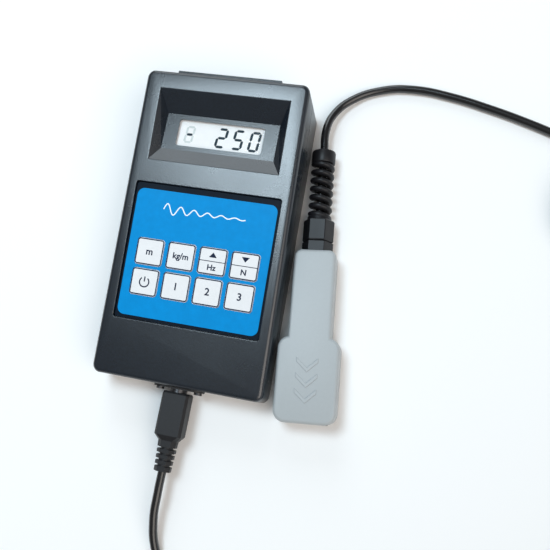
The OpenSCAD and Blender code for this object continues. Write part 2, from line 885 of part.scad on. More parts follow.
module plug_body() {
    shoulder = plug_l + plug_shoulder;
    plug_end = shoulder + neck_l - slice_t;
    rim = 2 * plug_lead_in_w;
    color([0.24, 0.24, 0.26]) on_plug(-end_y - plug_gap) {
        hull() {
            plug_face(0, plug_w - rim, plug_t - rim, plug_chamfer);
            plug_face(plug_lead_in, plug_w, plug_t, plug_chamfer);
            plug_face(plug_l, plug_w, plug_t, plug_chamfer);
            plug_face(shoulder, neck_w, neck_t, neck_chamfer);
        }
        difference() {
            hull() {
                plug_face(plug_l, neck_w, neck_t, neck_chamfer);
                plug_face(plug_end, neck_w - neck_taper_w, neck_t - neck_taper_t, neck_chamfer);
            }
            for (i = [0:neck_rings - 1])
                translate([0, 0, shoulder + neck_ring_start + i * neck_ring_pitch]) difference() {
                    translate([-neck_w, -neck_t, 0]) cube([2 * neck_w, 2 * neck_t, neck_ring_gap]);
                    translate([0, 0, -over]) cylinder(r = neck_core_r, h = neck_ring_gap + 2 * over);
                }
        }
    }
}

// Block with round corners and round edges, from one place along the sensor to another
module pebble(w, y0, y1, r) {
    hull() for (sx = [-1, 1], y = [y0 + r, y1 - r], z = [sensor_edge_r, sensor_t - sensor_edge_r])
        translate([sx * (w / 2 - r), y, z]) corner_ring(r, sensor_edge_r);
}

module sensor_form() {
    pebble(sensor_w, 0, sensor_wide_l, wide_r);
    pebble(handle_w, sensor_wide_l - handle_root, sensor_l, handle_r);
}

// Plan of the sensor, drawn in by a margin
module sensor_plan(margin) {
    translate([0, sensor_wide_l / 2])
        rounded(sensor_w - 2 * margin, sensor_wide_l - 2 * margin, wide_r - margin);
    translate([0, sensor_l / 2])
        rounded(handle_w - 2 * margin, sensor_l - 2 * margin, cover_handle_r);
}

module sensor_posts(r, h) {
    for (p = sensor_screw_places) translate([p[0], p[1], cover_t]) cylinder(r = r, h = h);
}

module sensor_body() {
    color([0.72, 0.75, 0.77]) on_sensor() difference() {
        sensor_form();
        translate([0, 0, -over]) linear_extrude(cover_t + over) sensor_plan(cover_margin - fit);
        difference() {
            translate([0, 0, cover_t - slice_t])
                linear_extrude(sensor_t - cover_t - sensor_wall) intersection() {
                    sensor_plan(cover_margin + cover_step);
                    translate([-sensor_w, room_start]) square([2 * sensor_w, room_l]);
                }
            sensor_posts(sensor_post_r, sensor_t);
        }
        sensor_posts(small_screw_d / 2 + fit / 2, sensor_hole_l);
        for (x = [-eye_x, eye_x])
            translate([x, -over, axis_z]) rotate([-90, 0, 0]) cylinder(r = eye_r + fit, h = eye_l + over);
        translate([0, -over, axis_z]) rotate([-90, 0, 0]) cylinder(r = lamp_r + fit, h = eye_l + over);
        translate([0, sensor_l - gland_hole_l, axis_z]) rotate([-90, 0, 0])
            cylinder(r = thread_r + fit, h = gland_hole_l + over);
    }
}

module sensor_cover() {
    color([0.62, 0.65, 0.67]) on_sensor() difference() {
        translate([0, 0, cover_lift]) linear_extrude(cover_t - cover_lift) sensor_plan(cover_margin);
        for (p = sensor_screw_places) translate([p[0], p[1], -over]) {
            cylinder(d = small_screw_d + 2 * fit, h = cover_t + 2 * over);
            cylinder(d = small_screw_head_d + 2 * fit, h = over + cover_lift + sensor_screw_seat);
        }
    }
}

module sensor_screws() {
    color("silver") on_sensor() for (p = sensor_screw_places)
        translate([p[0], p[1], cover_lift + sensor_screw_seat])
            screw(small_screw_d, sensor_screw_l, small_screw_head_d, sensor_screw_head_t);
}

module sensor_board() {
    color([0.1, 0.35, 0.2]) on_sensor()
        translate([0, sensor_board_start + sensor_board_l / 2, axis_z - sensor_board_below - board_t])
            plate(sensor_board_w, sensor_board_l, sensor_board_r, board_t);
}

// A lamp or an eye in the end of the sensor
module eye(x, r) {
    on_sensor() translate([x, 0, axis_z]) rotate([-90, 0, 0]) rotate_extrude() {
        square([r, eye_l]);
        square([r - eye_step, eye_l + eye_stem_l]);
    }
}

module emitter() {
    color([0.1, 0.08, 0.14]) eye(-eye_x, eye_r);
}

module receiver() {
    color([0.06, 0.06, 0.08]) eye(eye_x, eye_r);
}

module aiming_lamp() {
    color([0.95, 0.5, 0.1]) eye(0, lamp_r);
}

module gland_body() {
    color([0.06, 0.06, 0.07]) difference() {
        union() {
            on_axis(gland_y - thread_l) cylinder(r = thread_r, h = thread_l + 1);
            on_axis(gland_y) hex_prism(hex_af, base_hex_l);
            on_axis(gland_y + base_hex_l - 1) cylinder(r = upper_thread_r, h = upper_thread_l + 1);
        }
        on_axis(gland_y - thread_l - over)
            cylinder(r = bore_r, h = thread_l + base_hex_l + upper_thread_l + 2 * over);
    }
}

module gland_seal() {
    color([0.1, 0.1, 0.1]) difference() {
        on_axis(nut_y + upper_thread_l + fit) cylinder(r = seal_r, h = seal_l);
        on_axis(nut_y + upper_thread_l - over) cylinder(r = seal_bore_r, h = seal_l + 2 * over);
    }
}

// One ring of the spiral band, a flat oval
function spiral_ring(i) =
    let (turn = i / spiral_steps, a = 360 * turn + spiral_start, mid = (spiral_d / 2 + bore_r) / 2)
    let (half = spiral_d / 2 - spiral_inset - mid)
    [for (k = [0:spiral_sides - 1]) let (b = 360 * k / spiral_sides, r = mid + half * cos(b))
        [r * cos(a), r * sin(a), turn * spiral_pitch + spiral_band / 2 * sin(b)]];

module gland_nut() {
    color([0.06, 0.06, 0.07]) {
        difference() {
            on_axis(nut_y) union() {
                hex_prism(hex_af, nut_l - nut_shoulder);
                cylinder(r = spiral_d / 2, h = nut_l);
            }
            on_axis(nut_y - over) cylinder(r = upper_thread_r + fit, h = upper_thread_l + over);
            on_axis(nut_y) cylinder(r = seal_r + fit, h = upper_thread_l + seal_l + 2 * fit);
            on_axis(nut_y) cylinder(r = bore_r, h = nut_l + over);
        }
        on_axis(spiral_y - spiral_pitch / 4)
            ring_solid([for (i = [0:round(spiral_turns * spiral_steps)]) spiral_ring(i)]);
        difference() {
            on_axis(collar_y) cylinder(r = collar_r, h = collar_l);
            on_axis(collar_y - over) cylinder(r = bore_r, h = collar_l + 2 * over);
        }
    }
}

module lead_core() {
    color([0.05, 0.05, 0.05]) on_axis(gland_y - thread_l)
        cylinder(d = lead_d, h = gland_end - gland_y + thread_l);
}

module lead_to_coil() {
    color([0.05, 0.05, 0.05]) tube(route_to_coil);
}

module lead_to_plug() {
    color([0.05, 0.05, 0.05]) tube(route_to_plug);
}

module lead_coil() {
    color([0.05, 0.05, 0.05]) translate([coil_at[0], coil_at[1], 0]) rotate_extrude()
        translate([coil_r, coil_mid_z]) rounded(coil_band_w, coil_band_h, coil_band_r);
}

module lead_tie() {
    color([0.1, 0.1, 0.1]) translate([coil_at[0], coil_at[1] - coil_r, coil_mid_z]) rotate([90, 0, 90])
        translate([0, 0, -tie_w / 2]) difference() {
            plate(tie_hole_w + 2 * tie_t, tie_hole_h + 2 * tie_t, coil_band_r + tie_t, tie_w);
            translate([0, 0, -over]) plate(tie_hole_w, tie_hole_h, coil_band_r, tie_w + 2 * over);
        }
}

front_shell();
rear_shell();
battery_door();
battery();
battery_snap();
case_screws();
lcd_lens();
lcd_frame();
lcd_panel();
contact_strips();
display_board();
display_screws();
main_board();
board_screws();
processor();
board_capacitors();
keypad_socket();
keypad_circuit();
snap_domes();
keypad_spacer();
keypad_overlay();
key(0);  // key_1
key(1);  // key_2
key(2);  // key_3
key(3);  // key_4
key(4);  // key_5
key(5);  // key_6
key(6);  // key_7
key(7);  // key_8
socket_shell();
socket_insert();
socket_screws();
plug_shell();
plug_insert();
plug_pins();
plug_body();
sensor_body();
sensor_cover();
sensor_screws();
sensor_board();
emitter();
receiver();
aiming_lamp();
gland_body();
gland_seal();
gland_nut();
lead_core();
lead_to_coil();
lead_coil();
lead_tie();
lead_to_plug();
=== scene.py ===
"""Looks of a hand-held belt tension meter with an optical sensor on a lead."""
import json
import logging
import math
from dataclasses import dataclass, field
from enum import Enum
from typing import Callable, Iterable, Sequence

import bmesh
import bpy
from bmesh.types import BMesh
from bpy.types import Material, Mesh, Node, NodeSocket, NodeTree, Object, Spline
from mathutils import Matrix, Vector


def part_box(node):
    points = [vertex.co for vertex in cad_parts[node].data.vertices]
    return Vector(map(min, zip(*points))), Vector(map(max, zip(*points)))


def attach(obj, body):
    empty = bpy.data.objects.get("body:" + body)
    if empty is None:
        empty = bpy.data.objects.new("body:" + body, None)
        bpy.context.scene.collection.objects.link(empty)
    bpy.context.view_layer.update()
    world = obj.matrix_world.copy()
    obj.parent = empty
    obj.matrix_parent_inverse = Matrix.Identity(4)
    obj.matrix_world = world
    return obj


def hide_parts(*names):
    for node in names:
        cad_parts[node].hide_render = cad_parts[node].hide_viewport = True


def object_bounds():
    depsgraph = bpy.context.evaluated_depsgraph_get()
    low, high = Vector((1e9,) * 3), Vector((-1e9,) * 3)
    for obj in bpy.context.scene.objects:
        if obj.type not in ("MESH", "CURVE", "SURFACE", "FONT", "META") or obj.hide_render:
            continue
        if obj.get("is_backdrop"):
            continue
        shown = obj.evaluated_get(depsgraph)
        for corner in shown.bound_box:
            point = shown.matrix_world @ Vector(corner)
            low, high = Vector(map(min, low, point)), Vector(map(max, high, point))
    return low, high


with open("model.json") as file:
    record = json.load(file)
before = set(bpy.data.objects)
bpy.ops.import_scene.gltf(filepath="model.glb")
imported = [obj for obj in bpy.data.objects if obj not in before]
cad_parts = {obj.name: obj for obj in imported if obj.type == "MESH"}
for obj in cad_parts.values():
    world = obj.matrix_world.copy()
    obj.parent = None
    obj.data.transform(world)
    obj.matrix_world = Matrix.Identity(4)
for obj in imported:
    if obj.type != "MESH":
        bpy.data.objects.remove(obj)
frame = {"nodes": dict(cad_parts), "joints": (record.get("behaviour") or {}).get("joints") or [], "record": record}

logging.basicConfig(level=logging.INFO, format="%(message)s")
LOG = logging.getLogger("meter")

Colour = tuple[float, float, float]
Point = tuple[float, float, float]
Spot = tuple[float, float]

MM = 0.001
ROOT = "meter"

# Materials: the clear coat, the smoothest finish, and where the colour's drift starts and ends
COAT_ROUGHNESS = 0.12
LEAST_ROUGHNESS = 0.02
DRIFT_STOPS = (0.3, 0.7)

# CAD meshes: points closer than this are one, and bends below this angle are flat
MERGE_MM = 0.002
FLAT_DEG = 0.6

# Eased edges: a face's edges lie in a band below its top, and are rounded in segments
RIM_BAND_MM = 0.05
RIM_SEGMENTS = 6
ROUND_PROFILE = 0.5
EASE_SEGMENTS = 3
TURNED_SHARP_DEG = 30.0

# Print: its thickness, the steps in a curved stroke, and the step for a curve's slope
INK_MM = 0.03
TYPE_STEPS = 3
TINY = 1e-4


def add_node(tree: NodeTree, kind: str, **values: object) -> Node:
    """Add a node and set its inputs.

    Args:
        tree: the tree that gets the node.
        kind: the node's type name.
        values: input values by socket name, with _ for a space.

    Returns:
        The new node.
    """
    node = tree.nodes.new(kind)
    for name, value in values.items():
        node.inputs[name.replace("_", " ")].default_value = value
    return node


def link(tree: NodeTree, source: Node, output: str, target: Node, inlet: str) -> None:
    """Join an output of one node to an input of another, each by its name."""
    tree.links.new(source.outputs[output], target.inputs[inlet])


class Grain(Enum):
    """How the surface of a finish is broken up, by the name of its shader group."""

    MOULDED = "moulded_grain"
    FILM = "film_texture"
    BRUSHED = "brushed_metal"
    SMOOTH = "smooth_skin"


@dataclass(frozen=True)
class Texture:
    """Noise for a shader group that several finishes share.

    Attributes:
        detail: octaves of the relief.
        mottle: octaves and scale of the colour's drift, or None where it follows the relief.
        smudge: octaves and scale of the roughness's drift.
        stretch: factors on the place of the relief, for scratches along one way.
        pebbles: share of round pebbles in the relief.
        fall: how much each octave of noise adds.
    """

    detail: float
    mottle: Spot | None
    smudge: Spot
    stretch: Point | None = None
    pebbles: float = 0.0
    fall: float = 0.55

    def noise(self, tree: NodeTree, detail: float, scale: float | None = None) -> NodeSocket:
        """Add a noise texture to the group.

        Args:
            tree: the group.
            detail: octaves of the noise.
            scale: its scale, or None for the relief, which takes the group's own scale.

        Returns:
            The noise's value.
        """
        source = tree.nodes["Group Input"]
        noise = add_node(tree, "ShaderNodeTexNoise", Detail=detail, Roughness=self.fall)
        if scale is None:
            link(tree, source, "Scale", noise, "Scale")
        else:
            noise.inputs["Scale"].default_value = scale
        if scale is None and self.stretch:
            mapping = add_node(tree, "ShaderNodeMapping", Scale=self.stretch)
            link(tree, source, "Vector", mapping, "Vector")
            source = mapping
        link(tree, source, "Vector", noise, "Vector")
        return noise.outputs["Fac"]

    def pebbled(self, tree: NodeTree, relief: NodeSocket) -> NodeSocket:
        """Add round pebbles to the relief.

        Args:
            tree: the group.
            relief: height of the fine noise.

        Returns:
            The height of both.
        """
        cells = tree.nodes.new("ShaderNodeTexVoronoi")
        for name in ("Vector", "Scale"):
            link(tree, tree.nodes["Group Input"], name, cells, name)
        total = tree.nodes.new("ShaderNodeMath")
        total.operation = "MULTIPLY_ADD"
        tree.links.new(cells.outputs["Distance"], total.inputs[0])
        total.inputs[1].default_value = self.pebbles
        tree.links.new(relief, total.inputs[2])
        return total.outputs[0]

    def group(self, name: str) -> NodeTree:
        """Build the shader group.

        Args:
            name: its name.

        Returns:
            A group from a place and a scale to a height, a mottle and a smudge value.
        """
        tree = bpy.data.node_groups.new(name, "ShaderNodeTree")
        for key, kind in (("Vector", "NodeSocketVector"), ("Scale", "NodeSocketFloat")):
            tree.interface.new_socket(key, in_out="INPUT", socket_type=kind)
        for key in ("Height", "Mottle", "Smudge"):
            tree.interface.new_socket(key, in_out="OUTPUT", socket_type="NodeSocketFloat")
        tree.nodes.new("NodeGroupInput")
        out = tree.nodes.new("NodeGroupOutput")
        relief = self.noise(tree, self.detail)
        results = {
            "Height": self.pebbled(tree, relief) if self.pebbles else relief,
            "Mottle": self.noise(tree, *self.mottle) if self.mottle else relief,
            "Smudge": self.noise(tree, *self.smudge),
        }
        for key, socket in results.items():
            tree.links.new(socket, out.inputs[key])
        return tree


TEXTURES = {
    Grain.MOULDED: Texture(3.0, (4.0, 900.0), (5.0, 45.0), pebbles=0.6),
    Grain.FILM: Texture(2.0, (3.0, 300.0), (4.0, 35.0)),
    Grain.BRUSHED: Texture(4.0, None, (3.0, 60.0), stretch=(1.0, 0.04, 1.0)),
    Grain.SMOOTH: Texture(1.0, (3.0, 150.0), (4.0, 70.0)),
}
SURFACES = {grain: texture.group(grain.value) for grain, texture in TEXTURES.items()}


@dataclass(frozen=True)
class Finish:
    """One material of the object.

    Attributes:
        name: the material's name.
        colour: base colour, linear.
        roughness: mean roughness.
        grain: which surface group breaks it up.
        grain_mm: size of one grain.
        relief_mm: depth of the grain.
        mottle: share by which the colour drifts.
        smudge: by how much the roughness drifts.
        metallic: 1 for bare metal.
        coat: weight of a clear coat.
        alpha: 1 for an opaque piece.
        painted_glow: emission strength of the colour, painted light on a part that is no lamp.
        gloss: strength of its reflections, 0.5 for plain plastic.
    """

    name: str
    colour: Colour
    roughness: float
    grain: Grain = Grain.MOULDED
    grain_mm: float = 0.35
    relief_mm: float = 0.012
    mottle: float = 0.12
    smudge: float = 0.1
    metallic: float = 0.0
    coat: float = 0.0
    alpha: float = 1.0
    painted_glow: float = 0.0
    gloss: float = 0.5

    def material(self) -> Material:
        """Build the material, unless it was built before.

        Returns:
            The material.
        """
        label = f"look_{self.name}"
        known = bpy.data.materials.get(label)
        if known:
            return known
        material = bpy.data.materials.new(label)
        material.use_nodes = True
        tree = material.node_tree
        shader = tree.nodes["Principled BSDF"]
        for name, value in (
            ("Metallic", self.metallic), ("Coat Weight", self.coat),
            ("Coat Roughness", COAT_ROUGHNESS), ("Specular IOR Level", self.gloss),
            ("Alpha", self.alpha),
        ):
            shader.inputs[name].default_value = value
        place = tree.nodes.new("ShaderNodeTexCoord")
        surface = tree.nodes.new("ShaderNodeGroup")
        surface.node_tree = SURFACES[self.grain]
        surface.inputs["Scale"].default_value = 1.0 / (self.grain_mm * MM)
        link(tree, place, "Object", surface, "Vector")
        self.tint(tree, surface, shader)
        rough = add_node(
            tree, "ShaderNodeMapRange", To_Min=max(LEAST_ROUGHNESS, self.roughness - self.smudge),
            To_Max=min(1.0, self.roughness + self.smudge),
        )
        link(tree, surface, "Smudge", rough, "Value")
        link(tree, rough, "Result", shader, "Roughness")
        bump = add_node(tree, "ShaderNodeBump", Strength=1.0, Distance=self.relief_mm * MM)
        link(tree, surface, "Height", bump, "Height")
        link(tree, bump, "Normal", shader, "Normal")
        return material

    def tint(self, tree: NodeTree, surface: Node, shader: Node) -> None:
        """Let the colour drift between a darker and a lighter shade.

        Args:
            tree: the material's tree.
            surface: the placed surface group.
            shader: the Principled BSDF.
        """
        ramp = tree.nodes.new("ShaderNodeValToRGB")
        dark, light = ramp.color_ramp.elements
        dark.position, light.position = DRIFT_STOPS
        dark.color = (*(c * (1 - self.mottle) for c in self.colour), 1.0)
        light.color = (*(min(1.0, c * (1 + self.mottle)) for c in self.colour), 1.0)
        link(tree, surface, "Mottle", ramp, "Fac")
        link(tree, ramp, "Color", shader, "Base Color")
        # Painted light: a finish with a glow also shines its colour as emission, though the part is no lamp.
        if self.painted_glow:
            link(tree, ramp, "Color", shader, "Emission Color")
            shader.inputs["Emission Strength"].default_value = self.painted_glow


CASE_PLASTIC = Finish(
    "case_plastic", (0.005, 0.01, 0.017), 0.28, grain_mm=0.6, relief_mm=0.022, mottle=0.25,
    smudge=0.04, gloss=0.8,
)
KEYPAD_BLACK = Finish(
    "keypad_black", (0.001, 0.006, 0.015), 0.6, Grain.FILM, relief_mm=0.004, gloss=0.15,
)
OVERLAY_BLUE = Finish(
    "overlay_blue", (0.0, 0.25, 0.62), 0.5, Grain.FILM, 0.16, 0.004, mottle=0.05, gloss=0.08,
)
KEY_WHITE = Finish(
    "key_white", (0.77, 0.78, 0.8), 0.5, Grain.FILM, 0.16, 0.004, mottle=0.02, gloss=0.2,
)
PRINT_NAVY = Finish("print_navy", (0.008, 0.016, 0.045), 0.5, Grain.FILM, 0.16, 0.002, gloss=0.1)
PRINT_WHITE = Finish("print_white", (0.88, 0.92, 0.95), 0.45, Grain.FILM, 0.16, 0.002, mottle=0.02)
# The display cell's glow is painted light, a faint emission that brightens the reflective cell, which is no lamp.
LCD_CELL = Finish(
    "lcd_cell", (0.79, 0.8, 0.81), 0.4, Grain.FILM, 0.12, 0.001, mottle=0.02, painted_glow=0.06, gloss=0.2,
)
LCD_INK = Finish("lcd_ink", (0.002, 0.02, 0.035), 0.5, Grain.FILM, 0.12, 0.001, gloss=0.05)
LCD_FAINT = Finish("lcd_faint", (0.55, 0.6, 0.6), 0.4, Grain.FILM, 0.12, 0.001)
SENSOR_GREY = Finish(
    "sensor_grey", (0.38, 0.41, 0.425), 0.42, grain_mm=0.2, relief_mm=0.0025, mottle=0.015,
    smudge=0.04,
)
GLAND_BLACK = Finish(
    "gland_black", (0.01, 0.01, 0.012), 0.4, Grain.SMOOTH, 1.6, 0.01, smudge=0.08, gloss=0.3,
)
LEAD_BLACK = Finish(
    "lead_black", (0.008, 0.008, 0.009), 0.2, Grain.SMOOTH, 4.0, 0.02, smudge=0.08, coat=0.3,
)
PLUG_GREY = Finish("plug_grey", (0.012, 0.012, 0.014), 0.48, gloss=0.35)
BLACK_PLASTIC = Finish("black_plastic", (0.018, 0.018, 0.02), 0.5)
METAL = {"grain": Grain.BRUSHED, "grain_mm": 0.5, "metallic": 1.0}
DARK_STEEL = Finish("dark_steel", (0.08, 0.08, 0.085), 0.35, relief_mm=0.004, **METAL)
CLEAR = {"grain": Grain.SMOOTH, "relief_mm": 0.002}
GLASSY = {**CLEAR, "grain_mm": 3.0, "smudge": 0.03, "coat": 0.5}

# Pieces that keep their CAD shape take the finish of their slot in the record, but for a few
SLOT_FINISHES = {finish.name: finish for finish in (
    KEYPAD_BLACK, LCD_CELL, LEAD_BLACK, BLACK_PLASTIC,
    Finish("lens_clear", (0.9, 0.95, 0.95), 0.05, grain_mm=5.0, smudge=0.02, alpha=0.03, **CLEAR),
    Finish("seal_rubber", (0.015, 0.015, 0.015), 0.7, grain_mm=0.3),
    Finish("steel", (0.62, 0.62, 0.63), 0.3, relief_mm=0.004, **METAL),
    Finish("contact_brass", (0.75, 0.52, 0.2), 0.28, relief_mm=0.003, **METAL),
    Finish("board_green", (0.012, 0.13, 0.05), 0.35, Grain.FILM, 0.9, 0.02, mottle=0.3),
    Finish("battery_can", (0.03, 0.034, 0.04), 0.35, Grain.BRUSHED, 0.8, 0.003, coat=0.2),
    Finish("capacitor_blue", (0.02, 0.04, 0.18), 0.3, Grain.SMOOTH, 2.0, 0.004),
    Finish("ivory_plastic", (0.7, 0.66, 0.52), 0.5),
    Finish("contact_rubber", (0.6, 0.3, 0.34), 0.7, Grain.BRUSHED, 0.4, 0.01),
    Finish("filter_dark", (0.012, 0.008, 0.02), 0.08, **GLASSY),
    Finish("lamp_orange", (0.85, 0.25, 0.02), 0.1, **GLASSY),
)}
OWN_FINISHES = {
    "socket_shell": BLACK_PLASTIC, "socket_screws": DARK_STEEL, "plug_shell": DARK_STEEL,
}


def enlist(thing: Object) -> Object:
    """Link an object into the scene and hand it back."""
    bpy.context.scene.collection.objects.link(thing)
    return thing


def new_object(name: str, mesh: Mesh, finish: Finish, body: str = ROOT) -> Object:
    """Put a finished mesh into the scene as a piece.

    Args:
        name: the piece's name.
        mesh: its mesh, in place in the row frame.
        finish: its material.
        body: the body that it rides on.

    Returns:
        The piece.
    """
    piece = enlist(bpy.data.objects.new(name, mesh))
    mesh.materials.clear()
    mesh.materials.append(finish.material())
    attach(piece, body)
    LOG.info("piece %s on %s, %d faces", name, body, len(mesh.polygons))
    return piece


def mesh_from(name: str, build: Callable[[BMesh], None]) -> Mesh:
    """Make a mesh with a function that fills a bmesh.

    Args:
        name: the mesh's name.
        build: fills the bmesh.

    Returns:
        The mesh, with its normals outwards.
    """
    mesh = bpy.data.meshes.new(name)
    bm = bmesh.new()
    build(bm)
    bmesh.ops.recalc_face_normals(bm, faces=bm.faces)
    bm.to_mesh(mesh)
    bm.free()
    return mesh


def crease(
    bm: BMesh, sharp_deg: float, bent_deg: float = 6.0, wide_mm: float = 1.5,
) -> None:
    """Shade a bmesh smooth but for its sharp edges and the bends between its wide flats.

    Args:
        bm: the bmesh.
        sharp_deg: angle from which any edge is sharp.
        bent_deg: angle from which an edge between two wide flats is sharp.
        wide_mm: width from which a face counts as a wide flat.
    """
    for facet in bm.faces:
        facet.smooth = True
    for edge in bm.edges:
        bend = math.degrees(edge.calc_face_angle(0.0))
        narrow = min(facet.calc_area() for facet in edge.link_faces) / edge.calc_length()
        edge.smooth = not (bend > sharp_deg or (bend > bent_deg and narrow > wide_mm * MM))


def ease(piece: Object, width_mm: float, sharp_deg: float = 30.0) -> None:
    """Round the sharp edges of a piece.

    Args:
        piece: the piece.
        width_mm: width of the eased edges.
        sharp_deg: angle from which an edge counts as sharp.
    """
    bevel = piece.modifiers.new("eased_edges", "BEVEL")
    bevel.width = width_mm * MM
    bevel.segments = EASE_SEGMENTS
    bevel.limit_method = "ANGLE"
    bevel.angle_limit = math.radians(sharp_deg)
    bevel.harden_normals = True


def ease_rims(bm: BMesh, face: Vector, width_mm: float, sharp_deg: float) -> None:
    """Round the sharp edges of a bmesh's outermost face, as flat strips.

    Args:
        bm: the bmesh.
        face: the way that the face looks.
        width_mm: width of the eased edges.
        sharp_deg: angle from which an edge counts as sharp.
    """
    level = max(vert.co.dot(face) for vert in bm.verts) - RIM_BAND_MM * MM
    rims = [
        edge for edge in bm.edges
        if all(vert.co.dot(face) > level for vert in edge.verts)
        and edge.calc_face_angle(0.0) > math.radians(sharp_deg)
    ]
    eased = bmesh.ops.bevel(
        bm, geom=rims, offset=width_mm * MM, segments=RIM_SEGMENTS, profile=ROUND_PROFILE,
        affect="EDGES",
    )
    for strip in eased["faces"]:
        strip.smooth = False


def refined(
    node: str, finish: Finish, edge_mm: float, body: str = ROOT, sharp_deg: float = 32.0,
    face: Vector | None = None,
) -> Object:
    """Copy a CAD node, merge its triangles, and give it smooth faces and eased edges.

    Args:
        node: the CAD node, which the copy then replaces.
        finish: its material.
        edge_mm: width of the eased edges, or 0 for none.
        body: the body that it rides on.
        sharp_deg: angle from which an edge counts as sharp.
        face: the way that the outermost face looks, where only that face's edges are eased.

    Returns:
        The piece.
    """
    mesh = frame["nodes"][node].data.copy()
    mesh.name = f"{node}_form"
    bm = bmesh.new()
    bm.from_mesh(mesh)
    bmesh.ops.remove_doubles(bm, verts=bm.verts, dist=MERGE_MM * MM)
    bmesh.ops.dissolve_limit(
        bm, angle_limit=math.radians(FLAT_DEG), verts=bm.verts, edges=bm.edges,
    )
    crease(bm, sharp_deg)
    if face:
        ease_rims(bm, face, edge_mm, sharp_deg)
    bm.to_mesh(mesh)
    bm.free()
    piece = new_object(f"{node}_piece", mesh, finish, body)
    if edge_mm and not face:
        ease(piece, edge_mm, sharp_deg)
    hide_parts(node)
    return piece


def plain_mesh(holder: Object) -> Mesh:
    """Turn an object and its modifiers into a plain mesh, and remove the object.

    Args:
        holder: an object in the scene.

    Returns:
        The mesh that it showed.
    """
    bpy.context.view_layer.update()
    shown = holder.evaluated_get(bpy.context.evaluated_depsgraph_get())
    mesh = bpy.data.meshes.new_from_object(shown)
    bpy.data.objects.remove(holder)
    return mesh


def lettering(text: str, height_mm: float, bold_mm: float) -> Mesh:
    """Make flat print from plain characters, centred on the origin.

    Args:
        text: the characters.
        height_mm: height of the type.
        bold_mm: how much the strokes are thickened.

    Returns:
        A thin closed mesh in the XY plane.
    """
    curve = bpy.data.curves.new(f"type_{text}", "FONT")
    curve.body = text
    curve.size = height_mm * MM
    curve.align_x, curve.align_y = "CENTER", "CENTER"
    curve.extrude = INK_MM * MM / 2
    curve.offset = bold_mm * MM
    curve.resolution_u = TYPE_STEPS
    return plain_mesh(enlist(bpy.data.objects.new("type_holder", curve)))


def flat_bar(bm: BMesh, outline: Sequence[Spot], thick_mm: float) -> None:
    """Add a thin plate with the given outline in millimetres to a bmesh.

    Args:
        bm: the bmesh.
        outline: corners in the XY plane, anticlockwise.
        thick_mm: its thickness, half above and half below the plane.
    """
    half = thick_mm / 2
    rings = [
        [bm.verts.new(Vector((x, y, z)) * MM) for x, y in outline] for z in (-half, half)
    ]
    bm.faces.new(list(reversed(rings[0])))
    bm.faces.new(rings[1])
    count = len(outline)
    for i in range(count):
        j = (i + 1) % count
        bm.faces.new((rings[0][i], rings[0][j], rings[1][j], rings[1][i]))


def plates(name: str, outlines: Iterable[Sequence[Spot]], thick_mm: float) -> Mesh:
    """Make a mesh of thin plates.

    Args:
        name: the mesh's name.
        outlines: corners of each plate in millimetres.
        thick_mm: their thickness.

    Returns:
        The mesh, about the XY plane.
    """

    def fill(bm: BMesh) -> None:
        """Add each plate to a bmesh."""
        for outline in outlines:
            flat_bar(bm, outline, thick_mm)

    return mesh_from(name, fill)


def band(bm: BMesh, left: Sequence[Spot], right: Sequence[Spot], closed: bool) -> None:
    """Add one strip of print between two rows of points in millimetres to a bmesh.

    Args:
        bm: the bmesh.
        left: points along one side, in the XY plane.
        right: as many points along the other side.
        closed: whether the strip runs back into its start.
    """
    half = INK_MM / 2
    corners = [
        [
            bm.verts.new(Vector((*spot, z)) * MM)
            for spot, z in ((a, half), (b, half), (b, -half), (a, -half))
        ]
        for a, b in zip(left, right)
    ]
    pairs = list(zip(corners, corners[1:]))
    if closed:
        pairs.append((corners[-1], corners[0]))
    else:
        bm.faces.new(corners[0])
        bm.faces.new(list(reversed(corners[-1])))
    for near, far in pairs:
        for i, j in ((0, 1), (1, 2), (2, 3), (3, 0)):
            bm.faces.new((near[j], near[i], far[i], far[j]))


class FrontFace:
    """The sloping front of the meter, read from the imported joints."""

    def __init__(self) -> None:
        """Take the slope from the way the keys move."""
        down = next(j["axis"] for j in frame["joints"] if j["name"].startswith("key_"))
        self.normal = -Vector(down).normalized()
        self.across = Vector((1, 0, 0))
        self.along = self.normal.cross(self.across)

    def top_of(self, node: str) -> Vector:
        """Give the middle of a node's upper surface.

        Args:
            node: a CAD node whose upper surface is parallel to the front.

        Returns:
            A point on that surface.
        """
        points = [v.co for v in frame["nodes"][node].data.vertices]
        spot = self.normal * max(p.dot(self.normal) for p in points)
        for axis in (self.across, self.along):
            ways = [p.dot(axis) for p in points]
            spot += axis * (min(ways) + max(ways)) / 2
        return spot

    def print_on(self, mesh: Mesh, node: str, y_mm: float = 0.0) -> Mesh:
        """Lay a flat mesh on a node's upper surface.

        Args:
            mesh: print in the XY plane.
            node: the node that carries it.
            y_mm: offset from the surface's middle towards the display end.

        Returns:
            The same mesh, in place.
        """
        spot = self.top_of(node) + self.along * y_mm * MM + self.normal * INK_MM * MM / 2
        turn = Matrix((self.across, self.along, self.normal)).transposed().to_4x4()
        mesh.transform(Matrix.Translation(spot) @ turn)
        return mesh


FRONT = FrontFace()


class LampKind(Enum):
    """Kinds of light, by their names in Blender."""

    PANEL = "AREA"
    SUN = "SUN"


@dataclass(frozen=True)
class Lamp:
    """One soft light that faces the meter.

    Attributes:
        name: the lamp's name.
        kind: a square panel, or a sun, which reaches the whole floor.
        place: where it hangs in metres, or the way that a sun's light comes from.
        spread: side of a panel in metres, or how wide a sun looks in degrees.
        power: watts, or watts for each square metre from a sun.
        colour: the colour of its light.
    """

    name: str
    kind: LampKind
    place: Point
    spread: float
    power: float
    colour: Colour

    def hang(self) -> None:
        """Put the lamp into the scene."""
        data = bpy.data.lights.new(self.name, self.kind.value)
        if self.kind is LampKind.SUN:
            data.angle = math.radians(self.spread)
        else:
            data.size = self.spread
        data.energy = self.power
        data.color = self.colour
        lamp = enlist(bpy.data.objects.new(self.name, data))
        lamp.location = self.place
        lamp.rotation_euler = Vector(self.place).to_track_quat("Z", "Y").to_euler()


